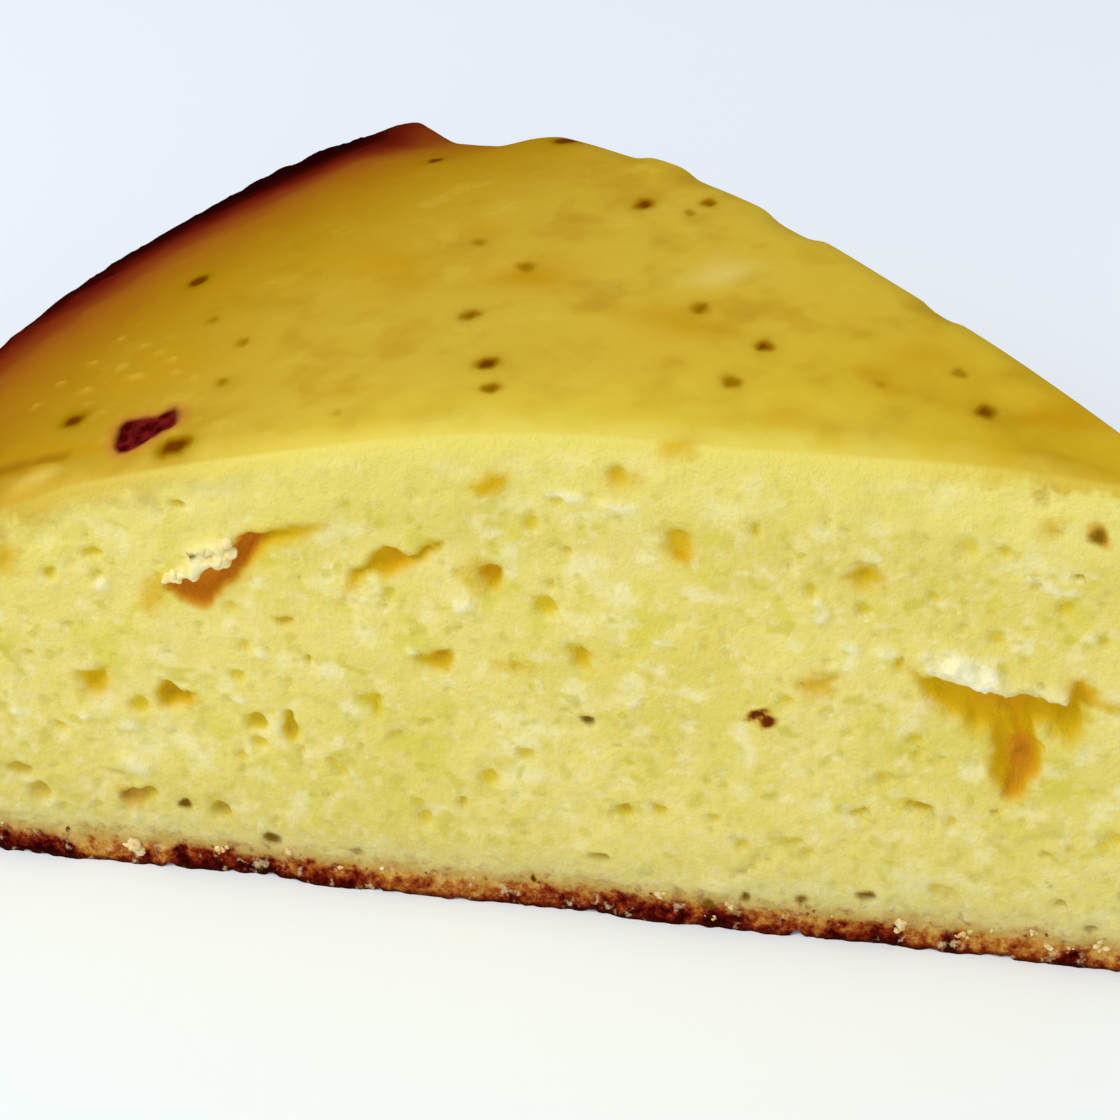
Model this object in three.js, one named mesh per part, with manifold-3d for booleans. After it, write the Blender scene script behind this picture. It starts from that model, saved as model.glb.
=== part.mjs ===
// A slice of yogurt cake: one eighth of a round cake, cut twice from the middle to the rim.
// Millimetres, +Z up. The tip points along +X, the browned rim lies towards -X, and the slice
// stands on its bottom crust, with the origin under the middle of its box.
import * as THREE from "three";
import { mergeVertices } from "three/addons/utils/BufferGeometryUtils.js";
import Module from "manifold-3d";

const wasm = await Module();
wasm.setup();

// The cake
const CAKE_RADIUS = 110;
const SLICE_ANGLE = THREE.MathUtils.degToRad(43.5);
const DOME_HEIGHT = 50;
const DOME_DROP = 21.5; // how far the dome falls on its way to the rim
const DOME_POWER = 3.1; // a high power keeps the middle flat and the rim steep
const SHOULDER_DROP = 1; // the last rounding, where the top turns into the side
const SHOULDER_POWER = 8;
const SINK_DEPTH = 2; // how far the middle of the cake sank as it cooled
const SINK_RADIUS = 28;
const TIN_TAPER = 2; // the side leans in by this much towards the base
const BASE_ROUNDING = 1.2; // where the side turns under into the bottom crust

// The unevenness of the top and of the knife's two cuts
const TOP_WAVE = 0.35;
const TOP_WAVE_LENGTH = 46;
const CUT_WAVE = 0.3;
const CUT_WAVE_LENGTH = 31;
const CUT_EDGE_ROUNDING = 0.7; // the knife pressed the crust down along both cuts
const CUT_EDGE_REACH = 3;
const BASE_RAGGED = 0.45; // the bottom crust tore a little, so its edge isn't straight
const BASE_RAGGED_REACH = 2.6;

// How finely the skin of the slice is divided
const RADIAL_STEPS = 34;
const ACROSS_STEPS = 12;
const UP_STEPS = 10;

// Air holes that are hardly wider than this get the fewest faces
const SMALL_HOLE = 2.3;
const HOLE_UNEVENNESS = 0.16;
const OUTLINE_SHRINK = 0.72; // how far a tear has narrowed at its depth
const CRUST_MARGIN = 3.2; // random holes stay this far from the edges of a cut
const HOLE_SPACING = 0.7;
const FRONT_RANDOM_HOLES = 30;
const BACK_RANDOM_HOLES = 50;
const RANDOM_HOLE_WIDTH = [1.2, 3.4];

// The larger holes of the front cut, placed as they show: how far along the cut from the tip,
// how high, how wide, how tall and how deep
const FRONT_HOLES = [
  [87.4, 19.5, 3.0, 3.2, 1.6],
  [80.8, 18.6, 3.4, 3.0, 1.8],
  [74.2, 16.9, 2.2, 2.0, 1.1],
  [71.2, 16.9, 1.7, 3.6, 1.3],
  [64.0, 20.1, 1.3, 3.0, 0.9],
  [58.9, 25.2, 3.4, 2.2, 1.9],
  [52.7, 25.6, 4.8, 1.3, 0.7],
  [54.6, 33.9, 2.4, 2.7, 1.9],
  [84.8, 7.4, 3.3, 2.2, 1.2],
  [54.9, 13.3, 2.1, 2.1, 0.8],
  [60.3, 8.5, 1.8, 1.8, 0.8],
  [40.3, 38.8, 2.4, 3.1, 1.8],
  [26.3, 37.7, 2.8, 1.9, 1.2],
  [47.5, 27.2, 2.4, 2.0, 1.4],
  [29.6, 26.8, 3.8, 2.4, 1.1],
  [20.4, 15.2, 2.3, 1.4, 1.0],
];

// Tears, where large bubbles ran together, as outlines: how far along the cut, and how high.
// cut 0 is the front cut, and 1 the back cut.
const TEARS = [
  {
    cut: 0,
    depth: 4.5,
    outline: [
      [80.4, 30.5],
      [78.3, 31.3],
      [76.5, 32.6],
      [74.7, 34.4],
      [72.2, 37.3],
      [67.7, 37.2],
      [70.5, 35.8],
      [72.7, 33.9],
      [74.5, 31.3],
      [77.1, 28.6],
      [78.9, 29.4],
    ],
  },
  {
    cut: 0,
    depth: 1.8,
    outline: [
      [65.1, 32.9],
      [63.5, 35.0],
      [62.1, 35.8],
      [58.0, 37.1],
      [58.5, 36.1],
      [60.4, 34.3],
      [62.7, 33.6],
    ],
  },
  {
    cut: 0,
    depth: 4.4,
    outline: [
      [22.3, 29.4],
      [19.3, 27.7],
      [16.0, 27.2],
      [11.5, 27.0],
      [8.5, 27.0],
      [8.0, 24.3],
      [9.4, 23.4],
      [12.0, 24.2],
      [15.4, 22.9],
      [17.1, 23.1],
      [19.1, 25.1],
      [20.8, 26.6],
    ],
  },
  {
    cut: 0,
    depth: 4.8,
    outline: [
      [16.2, 25.0],
      [11.8, 25.0],
      [11.5, 22.0],
      [12.1, 19.2],
      [13.4, 17.5],
      [14.3, 18.0],
      [15.0, 20.5],
    ],
  },
  {
    cut: 0,
    depth: 3,
    outline: [
      [10.6, 27.5],
      [10.6, 29.7],
      [9.2, 30.3],
      [8.1, 28.1],
      [8.5, 26.0],
    ],
  },
  {
    cut: 1,
    depth: 3.6,
    outline: [
      [86.4, 20.2],
      [84.0, 22.6],
      [80.6, 22.4],
      [77.4, 23.8],
      [76.6, 22.6],
      [79.6, 20.1],
      [83.6, 19.6],
    ],
  },
  {
    cut: 1,
    depth: 3.2,
    outline: [
      [38.4, 31.6],
      [35.2, 31.2],
      [31.6, 30.6],
      [29.2, 31.4],
      [30.4, 28.6],
      [33.6, 27.6],
      [36.6, 29.0],
    ],
  },
];

// Crumbly ledges that the tears left standing, as outlines, and how far they stand out
const LEDGES = [
  {
    cut: 0,
    reach: 0.9,
    outline: [
      [22.4, 29.8],
      [22.0, 30.8],
      [20.2, 31.2],
      [17.8, 31.0],
      [15.2, 30.3],
      [12.4, 29.2],
      [10.2, 28.9],
      [10.4, 27.1],
      [14.2, 27.1],
      [19.3, 27.7],
    ],
  },
  {
    cut: 0,
    reach: 0.8,
    outline: [
      [80.0, 31.0],
      [79.8, 33.0],
      [77.8, 34.5],
      [75.1, 34.8],
      [76.5, 32.6],
      [78.3, 31.3],
    ],
  },
];

// Dents and swellings of the crust along the cuts: radius, width, how far down, and how far
// they reach into the slice. A swelling goes up instead.
const CRUST_DENTS = [
  { cut: 0, radius: 92.5, width: 7, drop: 0.7, reach: 4 },
  { cut: 1, radius: 89.5, width: 17, drop: 2.4, reach: 12 },
  { cut: 1, radius: 63.5, width: 6.5, drop: -0.8, reach: 6 },
  { cut: 1, radius: 47.5, width: 6, drop: 0.9, reach: 4 },
  { cut: 1, radius: 30, width: 3.4, drop: 0.5, reach: 3 },
];

// The scar in the top crust, where a bubble burst and browned: its ends as radius and angle in
// degrees from the front cut, half its width and its depth
const SCAR = { ends: [[84.9, 3.1], [80.6, 5.3]], half: 0.9, depth: 0.7 };

// Pinholes in the top crust: radius, angle in degrees from the front cut, and width
const PINHOLES = [
  [90.6, 20.1, 1.7],
  [84.8, 15.1, 1.3],
  [78.9, 12.3, 1.2],
  [90.7, 6.3, 1.5],
  [66.9, 3.5, 1.2],
  [85.0, 36.6, 1.6],
  [61.6, 16.7, 1.6],
  [57.0, 9.8, 1.7],
  [55.7, 6.0, 1.3],
  [67.5, 26.4, 1.8],
  [61.3, 24.6, 1.2],
  [76.6, 42.6, 1.9],
  [59.5, 36.8, 1.8],
  [55.1, 40.0, 1.3],
  [44.6, 23.1, 1.9],
  [37.5, 19.8, 1.8],
  [38.2, 11.5, 1.7],
  [23.6, 29.0, 1.4],
  [19.7, 21.1, 1.8],
  [27.8, 18.9, 1.2],
];
const PINHOLE_DEPTH = 0.6;

// A repeatable source of random numbers from 0 to 1
function seededRandom(seed) {
  let state = seed;
  return () => {
    state = (state + 0x6d2b79f5) | 0;
    let mixed = Math.imul(state ^ (state >>> 15), 1 | state);
    mixed = (mixed + Math.imul(mixed ^ (mixed >>> 7), 61 | mixed)) ^ mixed;
    return ((mixed ^ (mixed >>> 14)) >>> 0) / 4294967296;
  };
}

// Height of the top crust at a radius, before its waves and chips
function domeHeight(radius) {
  const share = Math.min(radius / CAKE_RADIUS, 1);
  const shoulder = 1 - Math.sqrt(Math.max(1 - share ** SHOULDER_POWER, 0));
  const sink = SINK_DEPTH * Math.exp(-((radius / SINK_RADIUS) ** 2));
  return DOME_HEIGHT - DOME_DROP * share ** DOME_POWER - SHOULDER_DROP * shoulder - sink;
}

// How far the dents of the crust lower the top at a radius, away from both cuts
function dentDrop(radius, awayFrom) {
  return CRUST_DENTS.reduce((total, { cut, radius: middle, width, drop, reach }) => {
    const along = Math.exp(-(((radius - middle) / (width / 2)) ** 4));
    return total + drop * along * Math.max(1 - awayFrom[cut] / reach, 0) ** 1.5;
  }, 0);
}

// Height of the finished top at a radius and an angle from the front cut
function topHeight(radius, angle) {
  const wave =
    TOP_WAVE *
    Math.sin((radius / TOP_WAVE_LENGTH) * 2 * Math.PI) *
    Math.cos(angle * 6 + 0.4);
  const awayFrom = [radius * Math.sin(angle), radius * Math.sin(SLICE_ANGLE - angle)];
  const near = Math.max(1 - Math.min(...awayFrom) / CUT_EDGE_REACH, 0);
  const pressed = CUT_EDGE_ROUNDING * near * near;
  return domeHeight(radius) + wave - pressed - dentDrop(radius, awayFrom);
}

// How far the knife's cut wanders out of its plane
function cutWave(radius, height, phase) {
  const turn = (2 * Math.PI) / CUT_WAVE_LENGTH;
  const wave = Math.sin(radius * turn + phase) + Math.sin(height * turn * 1.7 - phase);
  const torn = Math.sin(radius * 0.86 + phase) + Math.sin(radius * 1.37 - 2 * phase);
  const low = Math.max(1 - height / BASE_RAGGED_REACH, 0);
  return 0.5 * (CUT_WAVE * wave + BASE_RAGGED * torn * low);
}

// Directions of the two cuts, from the tip to the rim, and their outward normals
function cutDirection(cut) {
  const turn = (cut - 0.5) * SLICE_ANGLE;
  return new THREE.Vector3(-Math.cos(turn), Math.sin(turn), 0);
}

function cutNormal(cut) {
  const along = cutDirection(cut);
  return cut === 0
    ? new THREE.Vector3(-along.y, along.x, 0)
    : new THREE.Vector3(along.y, -along.x, 0);
}

// A point of the slice: radial from the tip 0 to the rim 1, across from the front cut 0 to the
// back cut 1, and up from the base 0 to the top crust 1
function slicePoint(radial, across, up) {
  const radius = radial * CAKE_RADIUS;
  const angle = across * SLICE_ANGLE;
  const height = up * topHeight(radius, angle);
  const lean = TIN_TAPER * (1 - Math.min(height / domeHeight(CAKE_RADIUS), 1));
  const under = BASE_ROUNDING * Math.max(1 - height / BASE_ROUNDING, 0) ** 2;
  const place = radius - (lean + under) * radial ** 6;
  const turn = angle - SLICE_ANGLE / 2;
  const point = new THREE.Vector3(-place * Math.cos(turn), place * Math.sin(turn), height);
  const fade = Math.min(radius / 8, 1);
  const front = cutWave(radius, height, 1.1) * (1 - across) * fade;
  const back = cutWave(radius, height, 3.9) * across * fade;
  return point.addScaledVector(cutNormal(0), front).addScaledVector(cutNormal(1), back);
}

// Shares from 0 to 1 that crowd towards both ends
function crowdedShares(steps) {
  return Array.from({ length: steps + 1 }, (_, i) => 0.5 - 0.5 * Math.cos((Math.PI * i) / steps));
}

function evenShares(steps) {
  return Array.from({ length: steps + 1 }, (_, i) => i / steps);
}

// One face of the slice as triangles. Unflipped, it looks out along its columns crossed with its
// rows.
function addFace(positions, rows, columns, pointAt, flipped) {
  const points = rows.map((row) => columns.map((column) => pointAt(row, column)));
  for (let i = 0; i < rows.length - 1; i++)
    for (let j = 0; j < columns.length - 1; j++) {
      const [a, b] = [points[i][j], points[i][j + 1]];
      const [c, d] = [points[i + 1][j + 1], points[i + 1][j]];
      const triangles = flipped ? [[a, c, b], [a, d, c]] : [[a, b, c], [a, c, d]];
      triangles.filter(hasArea).flat().forEach(({ x, y, z }) => positions.push(x, y, z));
    }
}

// At the tip the columns meet in one point, where a triangle can have no area
function hasArea([a, b, c]) {
  return Math.min(a.distanceTo(b), b.distanceTo(c), c.distanceTo(a)) > 1e-6;
}

// A closed mesh as a manifold solid
function solidOf(geometry) {
  const bare = new THREE.BufferGeometry();
  const source = geometry.index ? geometry.toNonIndexed() : geometry;
  bare.setAttribute("position", source.getAttribute("position").clone());
  const merged = mergeVertices(bare, 1e-4);
  const mesh = new wasm.Mesh({
    numProp: 3,
    vertProperties: new Float32Array(merged.attributes.position.array),
    triVerts: new Uint32Array(merged.index.array),
  });
  return new wasm.Manifold(mesh);
}

// The whole slice, before the knife showed its holes
function plainSlice() {
  const radial = evenShares(RADIAL_STEPS);
  const across = crowdedShares(ACROSS_STEPS);
  const up = crowdedShares(UP_STEPS);
  const positions = [];
  addFace(positions, radial, across, (r, a) => slicePoint(r, a, 1), false);
  addFace(positions, radial, across, (r, a) => slicePoint(r, a, 0), true);
  addFace(positions, radial, up, (r, u) => slicePoint(r, 0, u), false);
  addFace(positions, radial, up, (r, u) => slicePoint(r, 1, u), true);
  addFace(positions, across, up, (a, u) => slicePoint(1, a, u), false);
  const geometry = new THREE.BufferGeometry();
  geometry.setAttribute("position", new THREE.Float32BufferAttribute(positions, 3));
  return solidOf(geometry);
}

// A frame that stands on a cut: x along it towards the rim, y out of the cake and z up
function cutFrame(cut, along, height) {
  const x = cutDirection(cut);
  const out = cutNormal(cut);
  const origin = x.clone().multiplyScalar(along).setZ(height);
  const frame = new THREE.Matrix4().makeBasis(x, out, new THREE.Vector3(0, 0, 1));
  return frame.setPosition(origin);
}

// An uneven round blob with the given half sizes
function blob(halfX, halfY, halfZ, detail, random) {
  const geometry = new THREE.IcosahedronGeometry(1, detail);
  geometry.deleteAttribute("normal");
  geometry.deleteAttribute("uv");
  const merged = mergeVertices(geometry, 1e-4);
  const position = merged.attributes.position;
  for (let i = 0; i < position.count; i++) {
    const swell = 1 + HOLE_UNEVENNESS * (2 * random() - 1);
    position.setXYZ(
      i,
      position.getX(i) * swell * halfX,
      position.getY(i) * swell * halfY,
      position.getZ(i) * swell * halfZ,
    );
  }
  return merged;
}

// Six times the volume that a closed mesh holds, or less than nothing when it is inside out
function signedVolume({ index, attributes: { position } }) {
  const corner = (i) => new THREE.Vector3().fromBufferAttribute(position, index.getX(i));
  let volume = 0;
  for (let i = 0; i < index.count; i += 3) {
    volume += corner(i).dot(corner(i + 1).cross(corner(i + 2)));
  }
  return volume;
}

// A closed mesh as a solid in its place. One that is inside out is turned right.
function placed(geometry, frame) {
  const moved = geometry.applyMatrix4(frame);
  if (signedVolume(moved) < 0) moved.index.array.reverse();
  return solidOf(moved);
}

// One air hole, opened by a cut
function airHole(cut, [along, height, width, tall, deep], random) {
  const detail = Math.max(width, tall) < SMALL_HOLE ? 0 : 1;
  const shape = blob(width / 2, deep, tall / 2, detail, random);
  return placed(shape, cutFrame(cut, along, height));
}

// Random air holes on a cut, clear of its edges and of the places already taken
function randomHoles(cut, count, taken, random) {
  const holes = [];
  const [least, most] = RANDOM_HOLE_WIDTH;
  for (let tries = 0; holes.length < count && tries < 60 * count; tries++) {
    const along = CRUST_MARGIN + random() * (CAKE_RADIUS - 2 * CRUST_MARGIN - 2);
    const height = CRUST_MARGIN + random() * (domeHeight(along) - 2 * CRUST_MARGIN - 1);
    const width = least + (most - least) * random() ** 3;
    const tall = width * (0.6 + 0.5 * random());
    const clear = taken.every(([a, h, half]) => {
      return Math.hypot(a - along, h - height) > half + width / 2 + HOLE_SPACING;
    });
    if (!clear) continue;
    taken.push([along, height, width / 2]);
    holes.push([along, height, width, tall, 0.35 * width + 0.2]);
  }
  return holes.map((hole) => airHole(cut, hole, random));
}

// The middle of an outline, which all of it can be seen from
function outlineMiddle(outline) {
  const sum = outline.reduce(([x, z], [along, height]) => [x + along, z + height], [0, 0]);
  return sum.map((value) => value / outline.length);
}

// A body that stands on an outline on a cut. It starts flat at one distance out of the cut, runs
// to a second one, where its outline has shrunk, and ends in a point at a third one.
function outlineBody({ cut, outline }, flatAt, shrunkAt, pointAt) {
  const [middleX, middleZ] = outlineMiddle(outline);
  const flat = outline.map(([x, z]) => [x - middleX, flatAt, z - middleZ]);
  const shrunk = flat.map(([x, , z]) => [x * OUTLINE_SHRINK, shrunkAt, z * OUTLINE_SHRINK]);
  const points = [...flat, ...shrunk, [0, flatAt, 0], [0, pointAt, 0]];
  const count = outline.length;
  const [flatMiddle, tip] = [2 * count, 2 * count + 1];
  const index = outline.flatMap((_, i) => {
    const next = (i + 1) % count;
    const [a, b, c, d] = [i, next, count + next, count + i];
    return [a, b, c, a, c, d, flatMiddle, b, a, d, c, tip];
  });
  const geometry = new THREE.BufferGeometry();
  geometry.setAttribute("position", new THREE.Float32BufferAttribute(points.flat(), 3));
  geometry.setIndex(index);
  return placed(geometry, cutFrame(cut, middleX, middleZ));
}

// The places that the hand-placed holes, tears and ledges of a cut take up
function takenPlaces(cut) {
  const holes = cut === 0 ? FRONT_HOLES.map(([a, h, w, t]) => [a, h, Math.max(w, t) / 2]) : [];
  const outlines = [...TEARS, ...LEDGES].filter((tear) => tear.cut === cut);
  return [...holes, ...outlines.flatMap(({ outline }) => outline.map(([a, h]) => [a, h, 2]))];
}

// A point of the top crust, from its radius and its angle in degrees from the front cut
function topPoint([radius, degrees]) {
  const angle = THREE.MathUtils.degToRad(degrees);
  const turn = angle - SLICE_ANGLE / 2;
  const height = topHeight(radius, angle);
  return new THREE.Vector3(-radius * Math.cos(turn), radius * Math.sin(turn), height);
}

// The scar in the top crust
function scarHollow(random) {
  const [start, end] = SCAR.ends.map(topPoint);
  const x = end.clone().sub(start);
  const half = x.length() / 2 + SCAR.half / 2;
  x.normalize();
  const y = new THREE.Vector3(0, 0, 1).cross(x).normalize();
  const frame = new THREE.Matrix4().makeBasis(x, y, x.clone().cross(y));
  frame.setPosition(start.add(end).divideScalar(2));
  return placed(blob(half, SCAR.half, SCAR.depth, 1, random), frame);
}

// One pinhole in the top crust
function pinhole([radius, degrees, width], random) {
  const middle = topPoint([radius, degrees]);
  const frame = new THREE.Matrix4().makeTranslation(middle.x, middle.y, middle.z);
  return placed(blob(width / 2, width / 2, PINHOLE_DEPTH, 0, random), frame);
}

// The slice with everything that its crust and crumb show
function cakeSlice() {
  const random = seededRandom(7);
  const ledges = LEDGES.map((ledge) => outlineBody(ledge, -1, ledge.reach * 0.7, ledge.reach));
  const tears = TEARS.map((tear) => outlineBody(tear, 2, -tear.depth * 0.6, -tear.depth));
  const holes = [
    ...FRONT_HOLES.map((hole) => airHole(0, hole, random)),
    ...randomHoles(0, FRONT_RANDOM_HOLES, takenPlaces(0), random),
    ...randomHoles(1, BACK_RANDOM_HOLES, takenPlaces(1), random),
    ...PINHOLES.map((place) => pinhole(place, random)),
  ];
  const raised = wasm.Manifold.union([plainSlice(), ...ledges]);
  const hollows = wasm.Manifold.union([...tears, ...holes, scarHollow(random)]);
  const cut = raised.subtract(hollows).getMesh();
  const geometry = new THREE.BufferGeometry();
  geometry.setAttribute("position", new THREE.BufferAttribute(cut.vertProperties, 3));
  geometry.setIndex(new THREE.BufferAttribute(cut.triVerts, 1));
  return geometry;
}

// Centres a geometry's box over the origin
function centred(geometry) {
  geometry.computeBoundingBox();
  const middle = geometry.boundingBox.getCenter(new THREE.Vector3());
  return geometry.translate(-middle.x, -middle.y, -geometry.boundingBox.min.z);
}

const bakedSponge = new THREE.MeshStandardMaterial({
  color: 0xe5d772,
  roughness: 0.85,
  metalness: 0,
});

const slice = new THREE.Group();
const cake = new THREE.Mesh(centred(cakeSlice()), bakedSponge);
cake.name = "cake_slice";
slice.add(cake);

export default slice;
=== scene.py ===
import math

import bmesh
import bpy
import numpy as np
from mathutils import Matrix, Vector, noise


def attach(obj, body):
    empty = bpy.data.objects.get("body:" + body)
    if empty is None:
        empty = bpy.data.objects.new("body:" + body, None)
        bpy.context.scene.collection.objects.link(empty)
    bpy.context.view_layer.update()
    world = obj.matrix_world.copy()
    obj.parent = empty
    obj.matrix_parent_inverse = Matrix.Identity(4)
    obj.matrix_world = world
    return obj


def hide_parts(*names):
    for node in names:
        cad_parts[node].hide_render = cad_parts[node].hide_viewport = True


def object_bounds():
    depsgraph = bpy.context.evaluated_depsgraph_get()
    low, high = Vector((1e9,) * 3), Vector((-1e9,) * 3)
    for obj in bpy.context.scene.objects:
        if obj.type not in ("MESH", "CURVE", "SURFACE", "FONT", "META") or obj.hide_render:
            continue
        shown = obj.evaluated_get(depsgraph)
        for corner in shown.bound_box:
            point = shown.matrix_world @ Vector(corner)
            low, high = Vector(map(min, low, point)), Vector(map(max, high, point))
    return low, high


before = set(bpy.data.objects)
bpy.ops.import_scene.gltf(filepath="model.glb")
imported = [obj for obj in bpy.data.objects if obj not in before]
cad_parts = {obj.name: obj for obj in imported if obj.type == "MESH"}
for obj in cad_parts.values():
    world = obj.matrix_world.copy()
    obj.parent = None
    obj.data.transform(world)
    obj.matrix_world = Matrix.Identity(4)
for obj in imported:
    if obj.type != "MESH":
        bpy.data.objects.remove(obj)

cad_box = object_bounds()

# The slice: one eighth of a round yogurt cake, sawn out with a knife. It is one piece of baked
# batter: a thin golden skin on top, a rim that browned against the tin, a dark bottom crust, and
# on both cuts the pale, open crumb with its air holes and tears. Lengths are in millimetres.
PER_METRE = 1000.0  # millimetres in a metre
CAKE_RADIUS = 110.0
SLICE_ANGLE = math.radians(43.5)
DOME_HEIGHT, DOME_DROP, DOME_POWER = 50.0, 21.5, 3.1
SHOULDER_DROP, SHOULDER_POWER = 1.0, 8
SINK_DEPTH, SINK_RADIUS = 2.0, 28.0
TIN_TAPER, TIN_TAPER_POWER = 2.0, 6
BASE_ROUNDING = 1.2
TOP_WAVE, TOP_WAVE_LENGTH = 0.35, 46.0
TOP_WAVE_TURNS, TOP_WAVE_PHASE = 6, 0.4
CUT_WAVE, CUT_WAVE_LENGTH = 0.3, 31.0
CUT_WAVE_PHASES, CUT_WAVE_FADE = (1.1, 3.9), 8
CUT_EDGE_ROUNDING, CUT_EDGE_REACH = 0.7, 3.0
BASE_RAGGED, BASE_RAGGED_REACH = 0.5, 2.2
BASE_SPREAD = 0.45
BASE_CHIPS, BASE_CHIPS_REACH = 1.0, 1.8
# Dents of the crust along a cut: cut (0 front, 1 back), radius, width, how far down, reach
CRUST_DENTS = [
    (0, 92.5, 7.0, 0.7, 4.0),
    (1, 89.7, 16.4, 2.7, 12.0),
    (1, 63.5, 6.5, -0.8, 6.0),
    (1, 47.5, 6.0, 0.9, 4.0),
    (1, 30.0, 3.4, 0.5, 3.0),
    (1, 101.6, 4.2, -0.4, 5.0),
    (1, 108.5, 8.4, 0.65, 7.0),
]
# How many steps the skin of the slice takes along the cuts, up them, and over the top
FRONT_STEPS, BACK_STEPS, RIM_STEPS, UP_STEPS = 336, 172, 76, 120
TOP_RINGS, TOP_ACROSS = 184, 136
# The rings of the top start this far from the tip, end this far from the rim, and crowd towards
# it. The skin stops this far short of the cuts, and the cuts are rounded over to meet it. The
# cuts and the rim stop this far short of the corners between them.
TIP_RING, RIM_RING, RING_CROWDING = 2.6, 0.5, 1.12
SKIN_INSET = 0.75
EDGE_FALL, EDGE_FALL_REACH = 0.45, 1.6
RIM_GAP = 0.45
TIP_ROUNDING = 0.35
TIP_CRUMBLED, TIP_CRUMBLE_REACH = 0.9, 3.0
RIM_BLISTERS = 0.4
# Noise in its reliefs and outlines, as height and size
FRONT_SEED, BACK_SEED = 3, 13
CUT_GRAIN, LOW_GRAIN, LIP_GRAIN = [(0.2, 5.0), (0.12, 1.9)], (0.3, 0.9), (0.35, 0.75)
CHIP_SIZES, RAGGED_SIZES = [(1.0, 1.9), (0.5, 0.8)], [(1.0, 6.5), (0.5, 1.2)]
TIP_CRUMBLE_SIZES, RIM_ROUGHNESS = [(0.7, 3.4), (0.5, 1.1)], [(0.16, 4.0), (0.14, 1.7)]
SKIN_WAVES, RIM_BLISTER_SIZES = [(0.22, 11.0), (0.06, 3.2)], [(1.0, 2.2), (0.6, 1.0)]
CUT_STRAY, SKIN_STRAY, CLOUD_STRAY, TONE_SPOTS = (0.4, 1.2), (0.3, 1.4), (2.0, 4.5), (0.25, 1.3)
LIP_LOBES = 1.1
# Heights and depths of its small features, a bump's as a share of its width, and how pale it is
# painted for its highlight
PIT_DEPTH, BUMP_HEIGHT, BUMP_PALENESS = 0.3, 0.2, 0.7
PIN_DEPTH, SCAR_DEPTH, SCAR_RIM, BLISTER_HEIGHT, FOLD_DEPTH = 0.12, 0.12, 0.07, 0.18, 0.16
# A pinhole is a middle dark with painted shade and a soft halo: share, reach in widths and
# steepness of both
PIN_STRETCH, PIN_LAYERS = 1.15, [(0.72, 0.38, 3), (0.28, 0.95, 2)]
# The rim browned more with each degree from here on, and its back corner less
BROWNER_PER_DEGREE, BROWNING_FROM = 0.43, 20
PALER_PER_DEGREE, CORNER_FROM = 1.5, 40
# What counts as the distance of a place that is in no fleck, scar or fold
FAR_OUTSIDE = -3.0

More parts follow.
